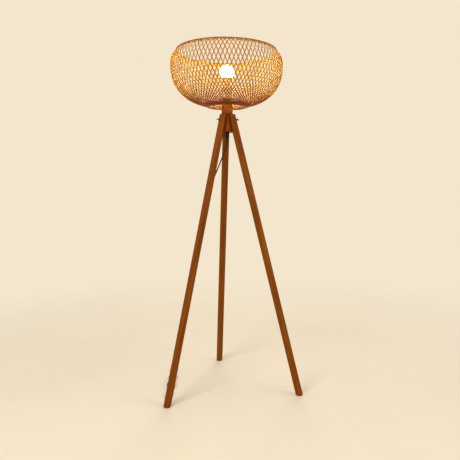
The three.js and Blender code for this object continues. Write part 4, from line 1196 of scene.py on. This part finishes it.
class LAMP_OT_wing_screws(bpy.types.Operator):
    """Makes the three wing screws and their washers"""

    bl_idname = "lamp.wing_screws"
    bl_label = "Wing screws"

    def execute(self, context):
        shank = [(TIP, 0.0093), (0.0030, 0.0093), (0.0030, BOSS_PLACE)]
        boss = [(0.00425, 0), (0.00425, 0.0052), (0.0032, 0.0071), (TIP, 0.0071)]
        boss = [(radius, BOSS_PLACE + along) for radius, along in boss]
        body = lengthwise(turned(eased([*shank, *boss], 0.0005, 3, closed=False), 48))
        wings = pillow(wing_outline(), -WING_HALF, WING_HALF, 0.0008) + SCREW_HEIGHT * UP
        screw = mesh_of("screw", body + SCREW_HEIGHT * UP)
        screw = carved(screw, [mesh_of("wings", wings)], "UNION")
        ring = rectangle(SCREW_HOLE, 0.006, SPOT_PLACE + FIT, SPOT_PLACE + 0.0018)
        ring = lengthwise(turned(eased(ring, 0.0003, 2), 56)) + SCREW_HEIGHT * UP
        screws = on_sides(screw, "wing_bolt")
        washers = on_sides(mesh_of("washer", ring, wrap_rows=True), "flat_washer")
        for word, bolt, washer in zip(SIDES, screws, washers):
            piece(bolt, "black_steel", f"screw_{word}", [f"wing_screw_{word}"])
            piece(washer, "black_steel", "lamp", [f"washer_{word}"])
        return {"FINISHED"}


class LAMP_OT_clips(bpy.types.Operator):
    """Makes the saddle clips that hold the cord behind the left leg"""

    bl_idname = "lamp.clips"
    bl_label = "Cord clips"

    def execute(self, context):
        # Outline: a half circle over the cord, straight sides and a flat sole with points along it
        bow = polar(CLIP_HALF, np.linspace(0, np.pi, 21), 0)[:, :2]
        sides = [(-CLIP_HALF, 0), (-CLIP_HALF, -CLIP_DROP), (CLIP_HALF, -CLIP_DROP), (CLIP_HALF, 0)]
        corners = eased(sides, 0.0007, 4, closed=False)[1:-1]
        sole = np.array([(x, -CLIP_DROP) for x in (-0.003, -0.0015, 0, 0.0015, 0.003)])
        outer = np.concatenate([bow, corners[:5], sole, corners[5:]])
        inner = polar(CLIP_HOLE, np.arctan2(outer[:, 1], outer[:, 0]), 0)[:, :2]
        clip = sleeve(outer, inner, -0.004, 0.004, 0.0006) + np.array([0, CLIP_REACH, 0])
        clip = about_axis(clip, CLIP_SIDE - math.pi / 2)
        for number, height in enumerate(CLIP_HEIGHTS, 1):
            placed = leaning(clip + height / math.cos(LEAN) * UP)
            placed = on_side(placed, SIDES.index("left"))
            mesh = mesh_of(f"saddle_clip_{number}", placed, wrap_rows=True)
            piece(mesh, "black_plastic", "lamp", [f"cord_clip_{number}"])
        return {"FINISHED"}


# Column on the hub


GRIP_HOLE = 0.00285
GRIP_LENGTH = 0.033
GRIP_BOTTOM = HUB_BOTTOM - FIT - GRIP_LENGTH
CUP_HEIGHT = 0.031
CUP_BOTTOM = SPIDER_HIGH + FIT
CAP_HEIGHT = 0.02
CAP_BOTTOM = CUP_BOTTOM + CUP_HEIGHT + FIT
HOLDER_HEIGHT = 0.037
HOLDER_BOTTOM = CAP_BOTTOM + CAP_HEIGHT + FIT

# Ribs of the grip's tail: a short cylinder and a groove above each of three radii and heights
GRIP_RIBS = [
    (radius - inset, low + rise)
    for radius, low in ((0.0046, 0.0018), (0.0054, 0.005), (0.0062, 0.0082))
    for inset, rise in ((0, 0), (0, 0.0009), (0.0007, 0.0014), (0.0006, 0.0025))
]

# Pieces turned about the lamp's axis: name, slot, the node each stands for, easing, sides, height
# of the bottom, and the closed outline as radius and height above the bottom
COLUMN = (
    ("ribbed_cord_grip", "black_plastic", "cord_grip", 0.0004, 64, GRIP_BOTTOM, (
        (GRIP_HOLE, 0), (0.0042, 0), *GRIP_RIBS, (0.007, 0.0113), (0.0085, 0.0131),
        (0.0085, GRIP_LENGTH), (BORE_RADIUS, GRIP_LENGTH), (BORE_RADIUS, 0.02), (GRIP_HOLE, 0.02),
    )),
    ("steel_cup", "bronzed_steel", "holder_cup", 0.0008, 96, CUP_BOTTOM, (
        (BORE_RADIUS, 0), (0.0215, 0), (0.0215, CUP_HEIGHT), (0.0199, CUP_HEIGHT),
        (0.0199, 0.003), (BORE_RADIUS, 0.003),
    )),
    ("lampholder_cap", "white_plastic", "holder_cap", 0.0009, 96, CAP_BOTTOM, (
        (BORE_RADIUS, 0), (0.0155, 0), (0.0182, 0.0017), (0.0205, 0.007), (0.0205, CAP_HEIGHT),
        (0.0185, CAP_HEIGHT), (0.0185, 0.007), (0.0135, 0.003), (BORE_RADIUS, 0.003),
    )),
    ("lampholder_body", "white_plastic", "holder_body", 0.0008, 144, HOLDER_BOTTOM, (
        (0.011, 0), (0.02, 0), (0.02, HOLDER_HEIGHT), (0.0176, HOLDER_HEIGHT), (0.0176, 0.002),
        (0.011, 0.002),
    )),
)

# Flutes down the lampholder's body, at heights above its bottom
FLUTE_COUNT = 36
FLUTE_DEPTH = 0.0005
FLUTE_LOW = 0.0042
FLUTE_HIGH = 0.03
FLUTE_FADE = 0.0012


def fluted(profile, sides):
    """Turned surface with shallow grooves along its outer side: each is half a cosine round it."""
    profile = np.concatenate([profile, profile[:1]])
    run = distances(profile)
    even = np.linspace(0, run[-1], 90, endpoint=False)
    fine = np.unique(np.round(np.concatenate([run[:-1], even]), 6))
    radius, height = (np.interp(fine, run, values) for values in profile.T)
    outer = radius > radius.max() - 0.0008
    share = outer * smooth_step(height, FLUTE_LOW, FLUTE_LOW + FLUTE_FADE)
    share = share * (1 - smooth_step(height, FLUTE_HIGH - FLUTE_FADE, FLUTE_HIGH))
    wave = np.maximum(0, np.cos(FLUTE_COUNT * round_steps(sides)))
    points = turned(np.column_stack([radius, height]), sides)
    points[..., :2] *= (1 - FLUTE_DEPTH * share[:, None] * wave / radius.max())[..., None]
    return points


def spider_mesh():
    """Flat spider: a ring for the bowl, a disc on the hub and three arms between them."""
    ease = 0.0003
    ring = turned(eased(rectangle(0.077, 0.086, SPIDER_LOW, SPIDER_HIGH), ease, 2), 144)
    disc = turned(eased(rectangle(BORE_RADIUS, 0.023, SPIDER_LOW, SPIDER_HIGH), ease, 2), 72)
    # The arms are a hair thinner than the ring, so that no two faces lie in one plane
    bar = eased(rectangle(0.012, 0.081, -0.004, 0.004), ease, 2)
    arm = pillow(bar, SPIDER_LOW + 0.00002, SPIDER_HIGH - 0.00002, ease, 2)
    arms = [mesh_of("arm", points) for points in on_each_side(arm)]
    spider = mesh_of("spider_plate", ring, wrap_rows=True)
    return carved(spider, [mesh_of("disc", disc, wrap_rows=True), *arms], "UNION")


class LAMP_OT_column(bpy.types.Operator):
    """Makes the cord grip, spider, cup and lampholder"""

    bl_idname = "lamp.column"
    bl_label = "Column"

    def execute(self, context):
        for name, slot, node, ease, sides, bottom, outline in COLUMN:
            shape = fluted if name == "lampholder_body" else turned
            points = shape(eased(outline, ease, 4), sides) + bottom * UP
            mesh = welded(mesh_of(name, on_lamp(points), wrap_rows=True))
            piece(mesh, slot, "lamp", [node], sharp=38)
        piece(moved(spider_mesh(), on_lamp), "bronzed_steel", "lamp", ["shade_spider"])
        return {"FINISHED"}


BULB_CAP_TOP = 1.3218
BULB_TOP = 1.4041
NECK_RADIUS = 0.0145
GLOBE_STAND = 0.0205  # radius at which the globe stands on the skirt


def bulb_cap():
    """Threaded cap: its radius swings with the height and the angle, which makes the thread."""
    low, neck, high = 1.2988, 1.3022, BULB_CAP_TOP
    threaded = np.linspace(low + 0.0038, high, 76)
    height = np.concatenate([np.linspace(low, neck, 5), threaded])[:, None]
    angle = round_steps(64)
    nominal = np.interp(height, [low, neck, high], [0.0052, 0.0132, 0.0132])
    free = smooth_step(height, neck, low + 0.005)
    free = free * (1 - smooth_step(height, high - 0.0035, high - 0.002))
    swing = 0.5 - 0.5 * np.cos(2 * np.pi * height / 0.0036 - angle)
    return polar(nominal - 0.0009 * free * swing, angle, height)


def bulb_skirt():
    """Skirt: a flare that follows a parabola from the neck to the globe."""
    low, neck = BULB_CAP_TOP + FIT, 1.3255
    foot = [(TIP, low), (0.0085, low), (NECK_RADIUS, low + 0.0019), (NECK_RADIUS, neck)]
    foot = eased(foot, 0.0012, 4, closed=False)[:-1]
    ends = np.array([(NECK_RADIUS, neck), (NECK_RADIUS, 1.3370), (GLOBE_STAND, 1.3519)])
    flare = parabola(*ends, np.linspace(0, 1, 24)[:, None])
    return turned(np.concatenate([foot, flare, [(0.0203, 1.3520), (TIP, 1.3520)]]), 72)


def bulb_globe():
    """Globe: a sphere from where it stands on the skirt to its crown."""
    radius = sizes().bulb_diameter / 2
    middle = BULB_TOP - radius
    lowest = -math.acos(GLOBE_STAND / radius)
    turn = np.append(np.linspace(lowest, math.pi / 2 - 0.02, 40), math.pi / 2 - 0.0004)
    globe = np.column_stack([radius * np.cos(turn), middle + radius * np.sin(turn)])
    return turned(np.concatenate([[(TIP, globe[0, 1])], globe]), 80)


class LAMP_OT_bulb(bpy.types.Operator):
    """Makes the bulb's threaded cap, skirt and lit globe"""

    bl_idname = "lamp.bulb"
    bl_label = "Bulb"

    def execute(self, context):
        for name, shape, slot, node in (
            ("threaded_bulb_cap", bulb_cap(), "bright_steel", "bulb_cap"),
            ("bulb_flared_skirt", bulb_skirt(), "white_plastic", "bulb_skirt"),
            ("opal_bulb_globe", bulb_globe(), "opal_globe", "bulb_globe"),
        ):
            piece(mesh_of(name, on_lamp(shape)), slot, "bulb", [node])
        return {"FINISHED"}


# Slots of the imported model's own pieces that are kept
KEPT = {
    "threaded_tube": "bright_steel", "clamp_nut": "bright_steel", "lead_in_tube": "cord_sheath",
    "contact_block": "ceramic", "screw_shell": "brass", "centre_contact": "brass",
    "bulb_contact": "brass", "threaded_insert_rear": "brass", "threaded_insert_left": "brass",
    "threaded_insert_right": "brass",
}


class LAMP_OT_inner_parts(bpy.types.Operator):
    """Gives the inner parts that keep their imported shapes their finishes"""

    bl_idname = "lamp.inner_parts"
    bl_label = "Inner parts"

    def execute(self, context):
        for node, slot in KEPT.items():
            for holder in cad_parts[node].material_slots:
                holder.material = finish_of(slot)
        return {"FINISHED"}


# Cord, switch and plug


def switch_body():
    """Whole switch case: rounded rectangles along the cord that narrow to both ends."""
    along = np.concatenate([
        [0, 0.0006, 0.0014], np.linspace(0.003, 0.009, 7), np.linspace(0.012, 0.046, 6),
        np.linspace(0.049, 0.055, 7), [0.0566, 0.0574, 0.058],
    ])
    from_end = np.minimum(along, SWITCH_LENGTH - along)
    width = 0.012 + 0.012 * np.sin(np.clip(from_end / 0.009, 0, 1) * np.pi / 2) ** 1.2
    ease = 0.0016 * (1 - np.sqrt(1 - (1 - np.clip(from_end / 0.0016, 0, 1)) ** 2))
    section = rounded(width - ease, SWITCH_THICKNESS - 2 * ease, 0.0024)
    return lengthwise(stacked(section, SWITCH_START + along)) + SWITCH_CENTRE * UP


def on_switch(points):
    """From the rocker's own frame, level about its pins, to its tilt and place at rest."""
    x, y, z = np.moveaxis(points, -1, 0)
    c, s = math.cos(ROCKER_REST), math.sin(ROCKER_REST)
    return on_floor(np.stack([x * c + z * s + SWITCH_MIDDLE, y, -x * s + z * c + PIVOT_HEIGHT], -1))


def switch_rocker():
    """Rocker on its two pins, in its place at rest."""
    outline = eased([
        (-0.0098, -0.0022), (0.0098, -0.0022), (0.0098, 0.0036), (0.0052, 0.0026), (0, 0.0024),
        (-0.0052, 0.0026), (-0.0098, 0.0036),
    ], 0.0007, 4)
    rocker = mesh_of("switch_paddle", crosswise(pillow(outline, -0.005, 0.005, 0.0005)))
    pins = mesh_of("pins", crosswise(turned([(0.001, -0.0064), (0.001, 0.0064)], 20)))
    return moved(carved(rocker, [pins], "UNION"), on_switch)


class LAMP_OT_switch(bpy.types.Operator):
    """Makes the in-line switch: base, cover and rocker"""

    bl_idname = "lamp.switch"
    bl_label = "Switch"

    def execute(self, context):
        # The halves are the case without all that lies above or below the joint between them
        around = (SWITCH_START - 0.02, SWITCH_END + 0.02, -0.03, 0.03)
        above = block(*around, BASE_TOP, 0.04)
        below = block(*around, -0.02, COVER_BOTTOM)
        near, far = SWITCH_MIDDLE - POCKET_LENGTH / 2, SWITCH_MIDDLE + POCKET_LENGTH / 2
        pocket = block(near, far, -POCKET_WIDTH / 2, POCKET_WIDTH / 2, POCKET_FLOOR, 0.03)
        case = switch_body()
        base = carved(mesh_of("switch_lower_half", case), [mesh_of("above", above)])
        cutters = [mesh_of("below", below), mesh_of("pocket", pocket)]
        cover = carved(mesh_of("switch_upper_half", case), cutters)
        piece(moved(base, on_floor), "black_plastic", "lamp", ["switch_base"])
        piece(moved(cover, on_floor), "black_plastic", "lamp", ["switch_cover"])
        piece(switch_rocker(), "black_plastic", "rocker", ["switch_rocker"])
        return {"FINISHED"}


def plug_body():
    """Plug with its ribbed tail: rounded rectangles along the cord that follow tables of sizes."""
    along = np.concatenate([
        np.linspace(PLUG_START, TAIL_END, 49), np.linspace(0.3515, PLUG_END - 0.0012, 30),
        PLUG_END - 0.0012 * np.array([0.6, 0.25, 0.0]),
    ])
    stations = [PLUG_START, TAIL_END, 0.3535, 0.357, 0.366, 0.376, PLUG_END]
    width = np.interp(along, stations, [0.007, 0.009, 0.014, 0.0205, 0.024, 0.0235, 0.0225])
    height = np.interp(along, stations, [0.007, 0.009, 0.0108, 0.0132, 0.015, 0.0147, 0.0138])
    corner = np.interp(along, stations, [0.0034, 0.0044, 0.0048, 0.0045, 0.004, 0.004, 0.004])
    for side in (width, height):
        side[2:-2] = np.convolve(side, np.ones(5) / 5, "valid")
    ribbed = smooth_step(along, 0.3368, 0.3376) * (1 - smooth_step(along, 0.3492, 0.35))
    wave = np.maximum(0, np.cos(2 * np.pi * (along - 0.3368) / 0.0032)) ** 0.5
    groove = 0.0011 * ribbed * wave
    ease = 0.0012 * np.clip((along - PLUG_END + 0.0012) / 0.0012, 0, 1) ** 2
    width, height = width - groove - ease, height - groove - ease
    section = rounded(width, height, np.minimum(corner, 0.499 * np.minimum(width, height)))
    return lengthwise(stacked(section, along)) + CORD_LINE * UP


def blade_mesh(name, shift):
    """Flat blade with rounded edges and a round hole near its end."""
    half, side = BLADE_WIDTH / 2, BLADE_THICKNESS / 2
    outline = eased(rectangle(BLADE_START, BLADE_END, -half, half), 0.0012, 4)
    blade = mesh_of(name, crosswise(pillow(outline, -side, side, 0.0003)) + shift)
    hole = turned([(0.0014, -0.004), (0.0014, 0.004)], 24) + np.array([BLADE_END - 0.004, 0, 0])
    return carved(blade, [mesh_of("hole", crosswise(hole) + shift)])


def hank_band():
    """Band round the hank's waist: a sleeve between two rounded rectangles."""
    inside_height = 0.01675
    inside, outside = rounded([0.0189, 0.0213], [inside_height, 0.01915], [0.0026, 0.0035])
    band = sleeve(outside, inside, HANK_MIDDLE - 0.004, HANK_MIDDLE + 0.004, 0.0004)
    return lengthwise(band) + (BAND_LOW + inside_height / 2) * UP


class LAMP_OT_plug(bpy.types.Operator):
    """Makes the plug with its ribbed tail and blades, and the tie round the hank"""

    bl_idname = "lamp.plug"
    bl_label = "Plug and tie"

    def execute(self, context):
        half, side = BLADE_WIDTH / 2 + FIT, BLADE_THICKNESS / 2 + FIT
        pocket = crosswise(block(BLADE_START - FIT, BLADE_END, -half, half, -side, side))
        pockets, blades = [], []
        for word, offset in (("left", BLADE_OFFSET), ("right", -BLADE_OFFSET)):
            shift = np.array([0, offset, CORD_LINE])
            pockets.append(mesh_of("pocket", pocket + shift))
            blades.append((word, blade_mesh(f"brass_blade_{word}", shift)))
        plug = carved(mesh_of("moulded_plug", plug_body()), pockets)
        piece(moved(plug, on_floor), "black_plastic", "lamp", ["plug_body"])
        for word, blade in blades:
            piece(moved(blade, on_floor), "brass", "lamp", [f"plug_blade_{word}"])
        band = mesh_of("hank_band", on_floor(hank_band()), wrap_rows=True)
        piece(band, "black_plastic", "lamp", ["hank_tie"])
        return {"FINISHED"}


def hank_points():
    """The folded hank: loops on top of each other, drawn in at the waist by a squared sine.

    They climb one layer along each left-hand run.
    """
    half = HANK_RUN / 2
    share = np.linspace(0, 1, 15)
    along = -half + HANK_RUN * share
    straight = HANK_RUN / 14
    towards = np.maximum(0, np.abs(along) - straight) / (half - straight)
    width = HANK_WAIST + (HANK_END - HANK_WAIST) * np.sin(towards * np.pi / 2) ** 2
    fold = np.linspace(0, np.pi, 9)[1:-1]
    out, side = half + HANK_END * np.sin(fold), HANK_END * np.cos(fold)
    stretches = []
    for turn in range(HANK_TURNS):
        stretches.append((along, -width, turn))
        stretches.append((out, -side, turn))
        stretches.append((-along, width, turn + smooth_step(share, 0, 1)))
        stretches.append((-out, side, turn + 1))
    stretches.append((along, -width, HANK_TURNS))
    rows = [np.column_stack(np.broadcast_arrays(*stretch)) for stretch in stretches]
    start = np.array([HANK_MIDDLE, 0, HANK_REST])
    return start + np.concatenate(rows) * np.array([1, 1, HANK_LAYER])


class LAMP_OT_cord(bpy.types.Operator):
    """Lays the cord from its grip down the left leg, through the switch and the hank to the plug"""

    bl_idname = "lamp.cord"
    bl_label = "Cord"

    def execute(self, context):
        diameter = sizes().cord_diameter
        steps = 5
        stations = (SWITCH_START + 0.006, SWITCH_MIDDLE, SWITCH_END - 0.006)
        in_switch = [(station, 0, CORD_LINE) for station in stations]
        floor_run = on_floor(np.concatenate([in_switch, HANK_ROUTE, hank_points(), PLUG_ROUTE]))
        route = smooth_route(np.concatenate([on_lamp(CORD_ROUTE), floor_run]), steps)
        run = distances(route)
        # The circles start from the run's right-hand side on the leg, and from above on the floor
        at_switch = run[len(CORD_ROUTE) * steps]
        on_the_floor = smooth_step(run, at_switch, at_switch + 0.05)[:, None]
        sideways = np.array([math.sin(FLOOR_HEADING), -math.cos(FLOOR_HEADING), 0])
        reference = sideways * (1 - on_the_floor) + UP * on_the_floor
        mesh = mesh_of("mains_cord", tube(route, reference, diameter / 2, 12))
        nodes = ["cord_to_switch", "cord_to_hank", "cord_hank", "cord_to_plug"]
        cord = piece(mesh, "cord_sheath", "lamp", nodes, sharp=80)
        return {"FINISHED"}


# Stage


CAMERA_PLACE = (-0.3206, -2.1708, 0.9101)
CAMERA_DEGREES = (90 - 5.53, 0.1, 78.3 - 90)
LIGHT_TARGET = (0, 0, 0.85)
# Softboxes: name, place, size, power and colour
SOFTBOXES = (
    ("key_light", (-1.9, -2.2, 2.7), 1.6, 62, (1.0, 0.96, 0.9)),
    ("fill_light", (2.4, -1.6, 1.9), 2.0, 24, (1.0, 0.97, 0.93)),
    ("back_light", (0.8, 2.6, 2.5), 1.8, 30, (1.0, 0.97, 0.92)),
)


def add_camera(scene):
    """The camera at the photograph's viewing angle."""
    data = bpy.data.cameras.new("viewpoint")
    data.lens = 38.5
    data.sensor_width = 36
    data.shift_x = -0.0531
    camera = bpy.data.objects.new("viewpoint", data)
    scene.collection.objects.link(camera)
    camera.location = CAMERA_PLACE
    camera.rotation_euler = Euler([math.radians(turn) for turn in CAMERA_DEGREES])
    scene.camera = camera


def add_floor(scene):
    """A square of a few faces, whose colour fades into the background far from the lamp."""
    x, y = np.meshgrid(np.linspace(-9, 9, 7), np.linspace(-9, 9, 7))
    corners = np.stack([x, y, 0 * x], -1).reshape(-1, 3)
    index = np.arange(x.size).reshape(x.shape)
    grid = [index[:-1, :-1], index[:-1, 1:], index[1:, 1:], index[1:, :-1]]
    quads = np.stack(grid, -1).reshape(-1, 4)
    mesh = bpy.data.meshes.new("studio_floor")
    mesh.from_pydata(corners.tolist(), [], quads.tolist())
    floor = bpy.data.objects.new("studio_floor", mesh)
    scene.collection.objects.link(floor)
    colour = colours().floor
    f = Finish("studio_floor", roughness=0.7)
    tone = f.between(f.noise(f.place(), 1.3, 3), 0.3, 0.7)
    f.to_shader(Base_Color=f.mixed(tone, scaled(colour, 1.02), scaled(colour, 0.98)),
                Specular_IOR_Level=0.2)
    far = f.math("MULTIPLY", f.between(f.length(f.place()), 0.7, 2.6), f.seen_share())
    shown = f.add("ShaderNodeEmission", {"Color": colours().backdrop, "Strength": 1.0})
    both = f.add("ShaderNodeMixShader", {0: far, 1: f.shader.outputs[0], 2: shown.outputs[0]})
    f.put(f.output.inputs["Surface"], both.outputs[0])
    mesh.materials.append(f.material)


def set_world(scene):
    """Soft light from all sides, and the background's colour where the world itself is seen."""
    world = scene.world or bpy.data.worlds.new("studio")
    scene.world = world
    world.use_nodes = True
    w = Nodes(world.node_tree)
    light = w.add("ShaderNodeBackground", {"Color": (1.0, 0.98, 0.95), "Strength": 0.55})
    shown = w.add("ShaderNodeBackground", {"Color": colours().backdrop, "Strength": 1.0})
    inputs = {0: w.seen_share(), 1: light.outputs[0], 2: shown.outputs[0]}
    both = w.add("ShaderNodeMixShader", inputs)
    w.add("ShaderNodeOutputWorld", {"Surface": both.outputs[0]})


def add_softbox(scene, name, place, size, power, colour):
    """A square area light at a place, turned to the lights' target."""
    data = bpy.data.lights.new(name, "AREA")
    data.shape = "SQUARE"
    data.size = size
    data.energy = power
    data.color = colour
    light = bpy.data.objects.new(name, data)
    scene.collection.objects.link(light)
    light.location = place
    x, y, z = np.array(LIGHT_TARGET) - np.array(place)
    tilt = math.atan2(math.hypot(x, y), -z)
    light.rotation_euler = Euler((tilt, 0, math.atan2(y, x) - math.pi / 2))


class LAMP_OT_stage(bpy.types.Operator):
    """Sets the camera, the pale floor and background, and the soft lights"""

    bl_idname = "lamp.stage"
    bl_label = "Stage"

    def execute(self, context):
        scene = context.scene
        add_camera(scene)
        add_floor(scene)
        set_world(scene)
        for softbox in SOFTBOXES:
            add_softbox(scene, *softbox)
        scene.view_settings.view_transform = "Standard"
        return {"FINISHED"}


class LAMP_PT_panel(bpy.types.Panel):
    """Sizes, colours and steps of the lamp"""

    bl_idname = "LAMP_PT_panel"
    bl_label = "Woven bowl lamp"
    bl_space_type = "VIEW_3D"
    bl_region_type = "UI"
    bl_category = "Lamp"

    def draw(self, context):
        layout = self.layout
        for title, group in (("Sizes", sizes()), ("Colours", colours())):
            box = layout.box()
            box.label(text=title)
            for key in group.__annotations__:
                box.prop(group, key)
        column = layout.column(align=True)
        for step in STEPS:
            column.operator(step.bl_idname)


STEPS = (
    LAMP_OT_stage, LAMP_OT_switch, LAMP_OT_plug, LAMP_OT_cord, LAMP_OT_clips, LAMP_OT_legs,
    LAMP_OT_hub, LAMP_OT_wing_screws, LAMP_OT_column, LAMP_OT_inner_parts, LAMP_OT_bulb,
    LAMP_OT_weave, LAMP_OT_hoops,
)
CLASSES = (LampSizes, LampColours, *STEPS, LAMP_PT_panel)


def register():
    """Registers the settings, the steps and the panel."""
    for kind in CLASSES:
        bpy.utils.register_class(kind)
    bpy.types.Scene.woven_lamp_sizes = PointerProperty(type=LampSizes)
    bpy.types.Scene.woven_lamp_colours = PointerProperty(type=LampColours)


def unregister():
    """Takes them out again."""
    del bpy.types.Scene.woven_lamp_colours
    del bpy.types.Scene.woven_lamp_sizes
    for kind in reversed(CLASSES):
        bpy.utils.unregister_class(kind)


def main():
    """Runs every step."""
    register()
    for step in STEPS:
        group, name = step.bl_idname.split(".")
        getattr(getattr(bpy.ops, group), name)()


if __name__ == "__main__":
    main()
